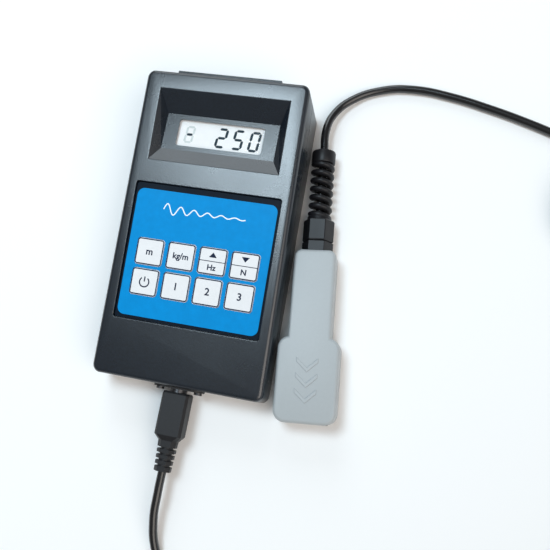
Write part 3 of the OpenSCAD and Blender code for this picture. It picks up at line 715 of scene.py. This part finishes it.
@dataclass
class Studio:
    """Camera, lamps, floor and world.

    Attributes:
        camera_mm: where the camera stands.
        aim_mm: the point on the table that it looks at.
        up: which way is up in the picture.
        focal_px: focal length in pixels of the picture.
        picture_px: width of the picture in pixels.
        sky: light from the sky by height, from 0 at the horizon to 1 overhead.
    """

    camera_mm: Point = (96.5, -66.4, 322.4)
    aim_mm: Point = (32.9, -10.9, 0.0)
    up: Point = (-0.1516, 0.9687, 0.1966)
    focal_px: float = 680.0
    picture_px: float = 550.0
    film_mm: float = 36.0
    clip_m: float = 0.01
    floor_m: float = 40.0
    floor_colour: Colour = (0.93, 0.93, 0.93)
    floor_roughness: float = 0.9
    floor_gloss: float = 0.1
    sky: tuple[Spot, ...] = ((0.0, 0.56), (0.18, 0.56), (0.32, 0.1), (0.9, 0.27))
    sky_tint: Colour = (1.0, 0.98, 0.96)
    lamps: tuple[Lamp, ...] = (
        Lamp("sky_panel", LampKind.PANEL, (-0.2, 0.2, 1.0), 0.36, 6.2, (0.72, 0.89, 1.0)),
        Lamp("back_panel", LampKind.PANEL, (-0.3, 1.0, 0.6), 0.6, 3.6, (0.86, 0.95, 1.0)),
        Lamp("far_light", LampKind.SUN, (0.6, -0.35, 0.75), 50.0, 1.5, (1.0, 0.93, 0.86)),
    )

    def camera(self) -> None:
        """Set the camera at the photograph's viewing angle."""
        data = bpy.data.cameras.new("camera")
        data.sensor_width = self.film_mm
        data.lens = self.film_mm * self.focal_px / self.picture_px
        data.clip_start = self.clip_m
        camera = enlist(bpy.data.objects.new("camera", data))
        back = (Vector(self.camera_mm) - Vector(self.aim_mm)).normalized()
        right = Vector(self.up).cross(back).normalized()
        turn = Matrix((right, back.cross(right), back)).transposed().to_4x4()
        camera.matrix_world = Matrix.Translation(Vector(self.camera_mm) * MM) @ turn
        bpy.context.scene.camera = camera

    def floor(self) -> None:
        """Lay a plain pale floor under the object."""
        half = self.floor_m / 2
        corners = [(-half, -half, 0), (half, -half, 0), (half, half, 0), (-half, half, 0)]
        mesh = bpy.data.meshes.new("floor")
        mesh.from_pydata(corners, [], [(0, 1, 2, 3)])
        material = bpy.data.materials.new("floor")
        material.use_nodes = True
        shader = material.node_tree.nodes["Principled BSDF"]
        shader.inputs["Base Color"].default_value = (*self.floor_colour, 1.0)
        shader.inputs["Roughness"].default_value = self.floor_roughness
        shader.inputs["Specular IOR Level"].default_value = self.floor_gloss
        mesh.materials.append(material)
        enlist(bpy.data.objects.new("floor", mesh))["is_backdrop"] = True

    def world(self) -> None:
        """Give a soft light from above and a pale backdrop along the horizon."""
        world = bpy.data.worlds.new("studio")
        bpy.context.scene.world = world
        world.use_nodes = True
        tree = world.node_tree
        view = tree.nodes.new("ShaderNodeTexCoord")
        split = tree.nodes.new("ShaderNodeSeparateXYZ")
        ramp = tree.nodes.new("ShaderNodeValToRGB")
        while len(ramp.color_ramp.elements) < len(self.sky):
            ramp.color_ramp.elements.new(1.0)
        for stop, (height, level) in zip(ramp.color_ramp.elements, self.sky):
            stop.position = height
            stop.color = (*(level * part for part in self.sky_tint), 1.0)
        link(tree, view, "Generated", split, "Vector")
        link(tree, split, "Z", ramp, "Fac")
        link(tree, ramp, "Color", tree.nodes["Background"], "Color")

    def build(self) -> None:
        """Set up the whole studio."""
        self.camera()
        self.floor()
        self.world()
        for lamp in self.lamps:
            lamp.hang()
        bpy.context.scene.view_settings.view_transform = "Standard"


@dataclass
class Case:
    """The two shells and the battery door.

    Attributes:
        rim_mm: width of the eased edges of the front face.
        eased_mm: width of the eased edges of the door.
        sharp_deg: angle from which an edge of a shell counts as sharp.
    """

    rim_mm: float = 0.35
    eased_mm: float = 0.3
    sharp_deg: float = 19.0

    def build(self) -> None:
        """Dress the shells and the door."""
        refined(
            "front_shell", CASE_PLASTIC, self.rim_mm, sharp_deg=self.sharp_deg, face=FRONT.normal,
        )
        refined("rear_shell", CASE_PLASTIC, 0.0, sharp_deg=self.sharp_deg)
        refined("battery_door", CASE_PLASTIC, self.eased_mm, "door")


class Segment(Enum):
    """The seven strokes of a digit, by side and height from the digit's middle."""

    TOP = (0, 2)
    UPPER_LEFT = (-1, 1)
    UPPER_RIGHT = (1, 1)
    MIDDLE = (0, 0)
    LOWER_LEFT = (-1, -1)
    LOWER_RIGHT = (1, -1)
    BOTTOM = (0, -2)


DIGITS: dict[str, tuple[Segment, ...]] = {
    "0": tuple(s for s in Segment if s is not Segment.MIDDLE),
    "2": (
        Segment.TOP, Segment.UPPER_RIGHT, Segment.MIDDLE, Segment.LOWER_LEFT, Segment.BOTTOM,
    ),
    "5": (
        Segment.TOP, Segment.UPPER_LEFT, Segment.MIDDLE, Segment.LOWER_RIGHT, Segment.BOTTOM,
    ),
    "-": (Segment.MIDDLE,),
}


@dataclass
class Display:
    """The digits of the display.

    Attributes:
        reading: the characters shown, from left to right.
        places_mm: where each character's middle is, right of the window's middle.
        unlit: a faint character behind the first one.
        ghost_size: share of the full size of the faint character.
        flat_gap_mm: how much shorter each end of a level stroke is.
        upright_gap_mm: how much shorter each end of an upright stroke is.
        slant: sideways lean for each unit of height.
    """

    reading: str = "-250"
    places_mm: tuple[float, ...] = (-15.6, 0.4, 8.6, 16.6)
    unlit: str = "0"
    ghost_size: float = 0.86
    digit_w_mm: float = 5.3
    digit_h_mm: float = 10.2
    minus_w_mm: float = 4.4
    stroke_mm: float = 1.25
    flat_gap_mm: float = 0.12
    upright_gap_mm: float = 0.1
    slant: float = 0.09

    def stroke(self, segment: Segment) -> list[Spot]:
        """Give the pointed outline of one stroke, about the digit's middle.

        Args:
            segment: which stroke.

        Returns:
            Corners in millimetres.
        """
        half = self.stroke_mm / 2
        side, row = segment.value
        wide, high = self.digit_w_mm / 2 - half, self.digit_h_mm / 2 - half
        reach = high / 2 - self.upright_gap_mm if side else wide - self.flat_gap_mm
        bar = [
            (-reach, 0.0), (half - reach, -half), (reach - half, -half),
            (reach, 0.0), (reach - half, half), (half - reach, half),
        ]
        if side:
            bar = [(-y, x) for x, y in bar]
        placed = [(x + side * wide, y + row * high / 2) for x, y in bar]
        return [(x + y * self.slant, y) for x, y in placed]

    def build(self) -> None:
        """Print the reading on the display cell."""
        self.show("display_digits", self.reading, self.places_mm, LCD_INK, 1.0)
        self.show("display_ghost", self.unlit, self.places_mm[:1], LCD_FAINT, self.ghost_size)

    def show(
        self, name: str, text: str, places: Sequence[float], finish: Finish, size: float,
    ) -> None:
        """Lay a row of characters on the display cell.

        Args:
            name: the piece's name.
            text: the characters.
            places: where each character's middle is, in millimetres.
            finish: their material.
            size: share of the full size.
        """
        outlines = []
        for character, place in zip(text, places):
            squeeze = self.minus_w_mm / self.digit_w_mm if character == "-" else size
            for segment in DIGITS[character]:
                outlines.append(
                    [(x * squeeze + place, y * size) for x, y in self.stroke(segment)]
                )
        mesh = plates(name, outlines, INK_MM)
        low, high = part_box("lcd_panel")
        middle = (low + high) / 2
        mesh.transform(Matrix.Translation((middle.x, middle.y, high.z + INK_MM * MM / 2)))
        new_object(name, mesh, finish)


@dataclass(frozen=True)
class Legend:
    """One line of print on a key, by its offset from the key's middle."""

    text: str
    y_mm: float
    height_mm: float


@dataclass
class Keypad:
    """The overlay, the keys and their print.

    Attributes:
        bold_mm: how much the type is thickened.
        divided: the keys with an arrow over a line, the first one up and the second one down.
        switch_open_deg: half of the gap in the sign's ring.
        wave_decay: how fast the printed wave dies down.
    """

    legends: dict[str, tuple[Legend, ...]] = field(default_factory=lambda: {
        "key_1": (Legend("m", 0.0, 4.6),),
        "key_2": (Legend("kg/m", 0.0, 4.0),),
        "key_3": (Legend("Hz", -3.0, 3.7),),
        "key_4": (Legend("N", -3.0, 3.7),),
        "key_5": (),
        "key_6": (Legend("1", 0.0, 4.8),),
        "key_7": (Legend("2", 0.0, 4.8),),
        "key_8": (Legend("3", 0.0, 4.8),),
    })
    bold_mm: float = 0.1
    overlay_edge_mm: float = 0.08
    key_edge_mm: float = 0.12
    key_mm: Spot = (13.2, 12.4)
    corner_steps: int = 6
    outline_r_mm: float = 1.3
    outline_mm: float = 0.5
    outline_in_mm: float = 0.08
    divided: tuple[str, ...] = ("key_3", "key_4")
    arrow_w_mm: float = 3.8
    arrow_h_mm: float = 2.4
    arrow_y_mm: float = 3.0
    switch_key: str = "key_5"
    switch_r_mm: float = 2.3
    switch_line_mm: float = 0.6
    switch_open_deg: float = 38.0
    switch_foot_mm: float = 0.2
    switch_steps: int = 28
    divider_w_mm: float = 13.0
    divider_t_mm: float = 0.35
    wave_w_mm: float = 40.0
    wave_h_mm: float = 6.0
    wave_line_mm: float = 0.5
    wave_y_mm: float = 21.5
    wave_cycles: float = 6.0
    wave_decay: float = 2.2
    wave_steps: int = 160

    def rim(self, inset_mm: float) -> list[Spot]:
        """Give a rounded rectangle a little inside a key's edge.

        Args:
            inset_mm: how far inside.

        Returns:
            Its corners in millimetres, anticlockwise.
        """
        half_w, half_h = self.key_mm[0] / 2 - inset_mm, self.key_mm[1] / 2 - inset_mm
        radius = self.outline_r_mm - inset_mm
        points = []
        for quarter, (sx, sy) in enumerate(((1, 1), (-1, 1), (-1, -1), (1, -1))):
            for step in range(self.corner_steps + 1):
                angle = math.radians(90 * (quarter + step / self.corner_steps))
                points.append((
                    sx * (half_w - radius) + radius * math.cos(angle),
                    sy * (half_h - radius) + radius * math.sin(angle),
                ))
        return points

    def outline(self, bm: BMesh) -> None:
        """Add the printed line round a key to a bmesh."""
        inset = self.outline_in_mm
        band(bm, self.rim(inset), self.rim(inset + self.outline_mm), True)

    def stamp(self, name: str, mesh: Mesh, key: str, y_mm: float = 0.0) -> None:
        """Print a flat mesh on a key, at an offset from its middle."""
        new_object(name, FRONT.print_on(mesh, key, y_mm), PRINT_NAVY, key)

    def keys(self) -> None:
        """Dress each key and print its outline and legend."""
        for key, lines in self.legends.items():
            refined(key, KEY_WHITE, self.key_edge_mm, key)
            self.stamp(f"{key}_rim", mesh_from("rim", self.outline), key)
            for index, line in enumerate(lines, 1):
                mesh = lettering(line.text, line.height_mm, self.bold_mm)
                self.stamp(f"{key}_print_{index}", mesh, key, line.y_mm)
        half_w, half_t = self.divider_w_mm / 2, self.divider_t_mm / 2
        line = [(-half_w, -half_t), (half_w, -half_t), (half_w, half_t), (-half_w, half_t)]
        for key, way in zip(self.divided, (1.0, -1.0)):
            half_a, rise = self.arrow_w_mm / 2, self.arrow_h_mm / 2 * way
            foot, tip = self.arrow_y_mm - rise, self.arrow_y_mm + rise
            arrow = [(-half_a, foot), (half_a, foot), (0.0, tip)]
            name = f"{key}_divider"
            self.stamp(name, plates(name, (line, arrow), INK_MM), key)
        sign = mesh_from("switch_sign", self.switch_sign)
        self.stamp("switch_sign", sign, self.switch_key)

    def switch_sign(self, bm: BMesh) -> None:
        """Add the common on and off sign, an open ring and a bar, to a bmesh.

        Args:
            bm: the bmesh.
        """
        half, steps = self.switch_line_mm / 2, self.switch_steps
        start, sweep = 90 + self.switch_open_deg, 360 - 2 * self.switch_open_deg
        angles = [math.radians(start + sweep * i / steps) for i in range(steps + 1)]
        sides = [
            [(radius * math.cos(angle), radius * math.sin(angle)) for angle in angles]
            for radius in (self.switch_r_mm - half, self.switch_r_mm + half)
        ]
        band(bm, *sides, False)
        foot, top = self.switch_foot_mm, self.switch_r_mm + half
        flat_bar(bm, [(-half, foot), (half, foot), (half, top), (-half, top)], INK_MM)

    def wave_at(self, t: float) -> Spot:
        """Give a point of the printed wave.

        Args:
            t: share of its width, from 0 to 1.

        Returns:
            The point in millimetres, about the wave's middle.
        """
        swing = self.wave_h_mm / 2 * math.exp(-self.wave_decay * t)
        height = swing * math.sin(2 * math.pi * self.wave_cycles * t)
        return (t - 0.5) * self.wave_w_mm, height

    def wave(self, bm: BMesh) -> None:
        """Add a plain dying vibration to a bmesh.

        Args:
            bm: the bmesh.
        """
        upper, lower = [], []
        for i in range(self.wave_steps + 1):
            t = i / self.wave_steps
            x, y = self.wave_at(t)
            (x0, y0), (x1, y1) = self.wave_at(t - TINY), self.wave_at(t + TINY)
            out = Vector((y0 - y1, x1 - x0)).normalized() * self.wave_line_mm / 2
            upper.append((x + out.x, y + out.y))
            lower.append((x - out.x, y - out.y))
        band(bm, upper, lower, False)

    def build(self) -> None:
        """Dress the whole keypad."""
        refined("keypad_overlay", OVERLAY_BLUE, self.overlay_edge_mm)
        self.keys()
        wave = FRONT.print_on(mesh_from("wave", self.wave), "keypad_overlay", self.wave_y_mm)
        new_object("overlay_wave", wave, PRINT_WHITE)


@dataclass
class SensorSet:
    """The sensor, its gland and the spiral strain relief.

    Attributes:
        place_mm: middle of the sensor's wide end, on the table.
        turn_deg: how far the sensor is turned from the meter's length.
        nut_mm: where the nut starts along the axis.
        nut_l_mm: length of the nut with its round shoulder.
        shoulder_mm: length of the shoulder that stands out of the hexagon.
        shoulder_in_mm: how far the shoulder reaches into the hexagon.
        hex_wall_mm: distance from the bore to the hexagon's inner wall.
        near_bevel_mm: bevel of the hexagon's near end, inwards and along the axis.
        far_bevel_mm: bevel of its far end.
        shoulder_round_mm: steps round the shoulder's edge, inwards and from its end.
        collar_round_mm: steps round the collar's edges.
        mouth_mm: bevel of the collar's bore.
        mark_ease: width of the aiming marks' eased edges, as a share of their rise.
    """

    place_mm: Spot = (60.8, -78.0)
    turn_deg: float = 6.0
    axis_mm: float = 7.5
    nut_mm: float = 84.9
    nut_l_mm: float = 13.0
    shoulder_mm: float = 2.0
    shoulder_in_mm: float = 1.0
    hex_mm: float = 13.0
    hex_wall_mm: float = 2.7
    near_bevel_mm: Spot = (0.5, 0.5)
    far_bevel_mm: Spot = (0.9, 0.7)
    nut_edge_mm: float = 0.35
    body_edge_mm: float = 0.3
    cover_edge_mm: float = 0.15
    round_sides: int = 48
    shoulder_round_mm: tuple[Spot, ...] = ((0.0, 0.9), (0.3, 0.3), (0.9, 0.0))
    collar_round_mm: tuple[Spot, ...] = ((0.7, 0.0), (0.2, 0.25), (0.0, 0.8))
    mouth_mm: float = 0.3
    spiral_d_mm: float = 11.6
    spiral_turns: float = 6.5
    spiral_pitch_mm: float = 4.2
    spiral_band_mm: float = 2.9
    spiral_steps: int = 36
    section_steps: int = 18
    collar_l_mm: float = 6.4
    bore_mm: float = 4.5
    mark_count: int = 3
    mark_w_mm: float = 10.0
    mark_h_mm: float = 4.5
    mark_line_mm: float = 2.0
    mark_rise_mm: float = 0.35
    mark_ease: float = 0.6
    mark_first_mm: float = 13.5
    mark_step_mm: float = 7.0

    def frame(self) -> Matrix:
        """Give the frame whose Z runs along the sensor's axis from its wide end.

        Returns:
            The frame's matrix.
        """
        place = Vector((self.place_mm[0], self.place_mm[1], self.axis_mm)) * MM
        return (
            Matrix.Translation(place)
            @ Matrix.Rotation(math.radians(self.turn_deg), 4, "Z")
            @ Matrix.Rotation(math.radians(-90), 4, "X")
        )

    @property
    def spiral_start_mm(self) -> float:
        """Where the spiral starts along the axis."""
        return self.nut_mm + self.nut_l_mm - self.spiral_pitch_mm / 4

    @property
    def collar_mm(self) -> float:
        """Where the end collar starts along the axis."""
        return self.nut_mm + self.nut_l_mm + (self.spiral_turns - 0.25) * self.spiral_pitch_mm

    def spiral_tree(self) -> NodeTree:
        """Build the node tree that winds a flat oval band round the lead.

        Returns:
            The tree, with named inputs for its sizes.
        """
        tree = bpy.data.node_groups.new("spiral_band", "GeometryNodeTree")
        sockets = {"Geometry": "NodeSocketGeometry", "Finish": "NodeSocketMaterial"}
        for name in ("Turns", "Radius", "Length", "Band", "Depth"):
            sockets[name] = "NodeSocketFloat"
        for name, kind in sockets.items():
            tree.interface.new_socket(name, in_out="INPUT", socket_type=kind)
        tree.interface.new_socket("Geometry", in_out="OUTPUT", socket_type="NodeSocketGeometry")
        sizes, out, upright, shaped, real, paint = (
            tree.nodes.new(kind) for kind in (
                "NodeGroupInput", "NodeGroupOutput", "GeometryNodeSetCurveNormal",
                "GeometryNodeTransform", "GeometryNodeRealizeInstances", "GeometryNodeSetMaterial",
            )
        )
        upright.mode = "Z_UP"
        helix = add_node(tree, "GeometryNodeCurveSpiral", Resolution=self.spiral_steps)
        section = add_node(
            tree, "GeometryNodeCurvePrimitiveCircle", Resolution=self.section_steps, Radius=0.5,
        )
        scale = tree.nodes.new("ShaderNodeCombineXYZ")
        sweep = add_node(tree, "GeometryNodeCurveToMesh", Fill_Caps=True)
        for joint in (
            (sizes, "Turns", helix, "Rotations"), (sizes, "Radius", helix, "Start Radius"),
            (sizes, "Radius", helix, "End Radius"), (sizes, "Length", helix, "Height"),
            (sizes, "Depth", scale, "X"), (sizes, "Band", scale, "Y"),
            (section, "Curve", shaped, "Geometry"), (scale, "Vector", shaped, "Scale"),
            (helix, "Curve", upright, "Curve"), (upright, "Curve", sweep, "Curve"),
            (shaped, "Geometry", sweep, "Profile Curve"), (sweep, "Mesh", real, "Geometry"),
            (real, "Geometry", paint, "Geometry"), (sizes, "Finish", paint, "Material"),
            (paint, "Geometry", out, "Geometry"),
        ):
            link(tree, *joint)
        return tree

    def spiral(self) -> None:
        """Wind the spiral with the node tree and make it a plain mesh."""
        tree = self.spiral_tree()
        holder = enlist(
            bpy.data.objects.new("spiral_holder", bpy.data.meshes.new("spiral_holder"))
        )
        modifier = holder.modifiers.new("spiral", "NODES")
        modifier.node_group = tree
        values = {
            "Turns": self.spiral_turns,
            "Radius": (self.spiral_d_mm + self.bore_mm) / 4 * MM,
            "Length": self.spiral_turns * self.spiral_pitch_mm * MM,
            "Band": self.spiral_band_mm * MM,
            "Depth": (self.spiral_d_mm - self.bore_mm) / 2 * MM,
            "Finish": GLAND_BLACK.material(),
        }
        for item in tree.interface.items_tree:
            if item.in_out == "INPUT" and item.name in values:
                modifier[item.identifier] = values[item.name]
        mesh = plain_mesh(holder)
        for polygon in mesh.polygons:
            polygon.use_smooth = len(polygon.vertices) == 4
        mesh.transform(self.frame() @ Matrix.Translation((0, 0, self.spiral_start_mm * MM)))
        new_object("gland_spiral", mesh, GLAND_BLACK)

    def turned(self, name: str, profile: Sequence[Spot], sides: int) -> Object:
        """Turn a closed profile round the sensor's axis.

        Args:
            name: the piece's name.
            profile: radius and place along the axis, in millimetres.
            sides: number of sides, 6 for a hexagon.

        Returns:
            The piece.
        """

        def fill(bm: BMesh) -> None:
            """Add the turned profile to a bmesh.

            Args:
                bm: the bmesh.
            """
            rings = []
            for k in range(sides):
                angle = math.radians(360 * k / sides)
                rings.append([
                    bm.verts.new(Vector((r * math.cos(angle), r * math.sin(angle), z)) * MM)
                    for r, z in profile
                ])
            for a, b in zip(rings, rings[1:] + rings[:1]):
                for i in range(len(profile)):
                    j = (i + 1) % len(profile)
                    bm.faces.new((a[i], b[i], b[j], a[j]))

        mesh = mesh_from(name, fill)
        mesh.transform(self.frame())
        for polygon in mesh.polygons:
            polygon.use_smooth = True
        mesh.set_sharp_from_angle(angle=math.radians(TURNED_SHARP_DEG))
        return new_object(name, mesh, GLAND_BLACK)

    def gland(self) -> None:
        """Make the nut, its spiral and the end collar in place of the CAD nut."""
        corner = self.hex_mm / 2 / math.cos(math.radians(30))
        bore, radius = self.bore_mm / 2, self.spiral_d_mm / 2
        wall = bore + self.hex_wall_mm
        start, top = self.nut_mm, self.nut_mm + self.nut_l_mm
        end = top - self.shoulder_mm
        (near_in, near_l), (far_in, far_l) = self.near_bevel_mm, self.far_bevel_mm
        nut = self.turned("gland_hexagon", [
            (wall, start), (corner - near_in, start), (corner, start + near_l),
            (corner, end - far_l), (corner - far_in, end), (wall, end),
        ], 6)
        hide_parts("gland_nut")
        ease(nut, self.nut_edge_mm)
        foot = end - self.shoulder_in_mm
        self.turned("gland_shoulder", [
            (bore, foot), (radius, foot),
            *((radius - a, top - b) for a, b in self.shoulder_round_mm), (bore, top),
        ], self.round_sides)
        low, high = self.collar_mm, self.collar_mm + self.collar_l_mm
        self.turned("gland_collar", [
            (bore, low), *((radius - a, low + b) for a, b in self.collar_round_mm),
            *((radius - a, high - b) for a, b in reversed(self.collar_round_mm)),
            (bore + self.mouth_mm, high), (bore, high - self.mouth_mm),
        ], self.round_sides)
        self.spiral()
        refined("gland_body", GLAND_BLACK, self.body_edge_mm)

    def aim_marks(self) -> None:
        """Raise a row of plain chevrons that point to the sensing end."""
        half, line = self.mark_w_mm / 2, self.mark_line_mm
        outlines = []
        for index in range(self.mark_count):
            y = self.mark_first_mm + index * self.mark_step_mm
            tip = y - self.mark_h_mm
            outlines.append([
                (-half, y), (0.0, tip), (half, y),
                (half, y + line), (0.0, tip + line), (-half, y + line),
            ])
        mesh = plates("aim_marks", outlines, 2 * self.mark_rise_mm)
        x, y = self.place_mm
        place = Vector((x * MM, y * MM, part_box("sensor_body")[1].z))
        turn = Matrix.Rotation(math.radians(self.turn_deg), 4, "Z")
        mesh.transform(Matrix.Translation(place) @ turn)
        marks = new_object("sensor_aim_marks", mesh, SENSOR_GREY)
        ease(marks, self.mark_rise_mm * self.mark_ease)

    def build(self) -> None:
        """Dress the sensor and make the gland."""
        refined("sensor_body", SENSOR_GREY, 0.0)
        refined("sensor_cover", SENSOR_GREY, self.cover_edge_mm)
        self.gland()
        self.aim_marks()


@dataclass
class Lead:
    """The lead from the gland, through its coil, to the plug.

    Attributes:
        coil_r_mm: radius at the middle of the winding.
        coil_steps: turns wound so far, place across the winding and height there.
        rest_mm: height of its middle where it lies on the table.
        to_coil_mm: points from the gland to the coil.
        to_plug_mm: points from the coil to the plug.
    """

    diameter_mm: float = 4.0
    coil_mm: Spot = (188.0, 40.0)
    coil_r_mm: float = 24.0
    coil_steps: tuple[Point, ...] = (
        (0.0, 2.1, 2.85), (0.75, 2.1, 2.85), (1.0, -2.1, 2.85), (1.5, -2.1, 2.85),
        (1.75, -2.1, 6.8), (2.25, -2.1, 6.8), (2.5, 2.1, 6.8), (3.25, 2.1, 6.8),
    )
    turn_points: int = 16
    rest_mm: float = 2.05
    to_coil_mm: tuple[Point, ...] = (
        (46, 63, 7), (48, 73, 5), (56, 83, 3), (70, 90, 2.05), (86, 92, 2.05), (104, 90, 2.05),
        (122, 86, 2.05), (140, 81, 2.05), (158, 75, 2.05), (174, 69, 2.05),
    )
    to_plug_mm: tuple[Point, ...] = (
        (211, 10, 2.05), (206, -25, 2.05), (196, -60, 2.05), (190, -96, 2.05), (170, -124, 2.05),
        (136, -137, 2.05), (104, -143, 2.05), (75, -150, 2.05), (50, -159, 2.05), (30, -165, 2.05),
        (12, -160, 2.05), (3, -147, 4.5), (0, -133, 8), (0, -121, 9.8),
    )
    tie_edge_mm: float = 0.2
    plug_edge_mm: float = 0.3
    steps: int = 6
    section_steps: int = 6

    def coil_points(self) -> list[Point]:
        """Wind the coil clockwise from its far side, outside and inside, then on top of those.

        Returns:
            Points in millimetres.
        """
        turns = self.coil_steps[-1][0]
        points = []
        for i in range(round(turns * self.turn_points) + 1):
            turn = i / self.turn_points
            angle = math.radians(90 - 360 * turn)
            legs = zip(self.coil_steps, self.coil_steps[1:])
            a, b = next(leg for leg in legs if turn <= leg[1][0])
            share = (turn - a[0]) / (b[0] - a[0])
            share = share * share * (3 - 2 * share)
            radius = self.coil_r_mm + a[1] + (b[1] - a[1]) * share
            points.append((
                self.coil_mm[0] + radius * math.cos(angle),
                self.coil_mm[1] + radius * math.sin(angle),
                a[2] + (b[2] - a[2]) * share,
            ))
        return points

    def settle(self, spline: Spline) -> None:
        """Hold the handles of the curve level with their knots where it would dip below them.

        Args:
            spline: the lead's curve.
        """
        bpy.context.view_layer.update()
        for knot in spline.bezier_points:
            sides = [knot.handle_left.copy(), knot.handle_right.copy()]
            knot.handle_left_type = knot.handle_right_type = "FREE"
            if min(side.z for side in sides) < self.rest_mm * MM:
                for side in sides:
                    side.z = knot.co.z
            knot.handle_left, knot.handle_right = sides

    def build(self) -> None:
        """Lay the lead as one curve."""
        low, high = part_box("plug_body")
        plug_end = (0.0, low.y / MM, (low.z + high.z) / 2 / MM)
        gland_end = (SENSOR.collar_mm + SENSOR.collar_l_mm) * MM
        exit_at = SENSOR.frame() @ Vector((0, 0, gland_end))
        points = [
            exit_at / MM, *self.to_coil_mm, *self.coil_points(), *self.to_plug_mm, plug_end,
        ]
        curve = bpy.data.curves.new("lead", "CURVE")
        curve.dimensions = "3D"
        curve.bevel_depth = self.diameter_mm / 2 * MM
        curve.bevel_resolution = self.section_steps
        curve.resolution_u = self.steps
        curve.use_fill_caps = True
        spline = curve.splines.new("BEZIER")
        spline.bezier_points.add(len(points) - 1)
        for knot, point in zip(spline.bezier_points, points):
            knot.co = Vector(point) * MM
            knot.handle_left_type = knot.handle_right_type = "AUTO"
        self.settle(spline)
        lead = enlist(bpy.data.objects.new("lead", curve))
        curve.materials.append(LEAD_BLACK.material())
        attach(lead, ROOT)
        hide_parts("lead_to_coil", "lead_coil", "lead_to_plug")
        tie = refined("lead_tie", GLAND_BLACK, self.tie_edge_mm)
        plug = refined("plug_body", PLUG_GREY, self.plug_edge_mm)
        bpy.context.view_layer.update()


SENSOR = SensorSet()


def dress_plain_nodes() -> None:
    """Give every CAD node that stays shown its finish."""
    for row in frame["record"]["subparts"]:
        finish = OWN_FINISHES.get(row["node"]) or SLOT_FINISHES.get(row["material_slot"])
        if finish:
            data = frame["nodes"][row["node"]].data
            data.materials.clear()
            data.materials.append(finish.material())


def main() -> None:
    """Build every part of the scene in order."""
    cad = [corner.copy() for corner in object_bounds()]
    Studio().build()
    Lead().build()
    dress_plain_nodes()
    Case().build()
    Display().build()
    Keypad().build()
    SENSOR.build()


if __name__ == "__main__":
    main()
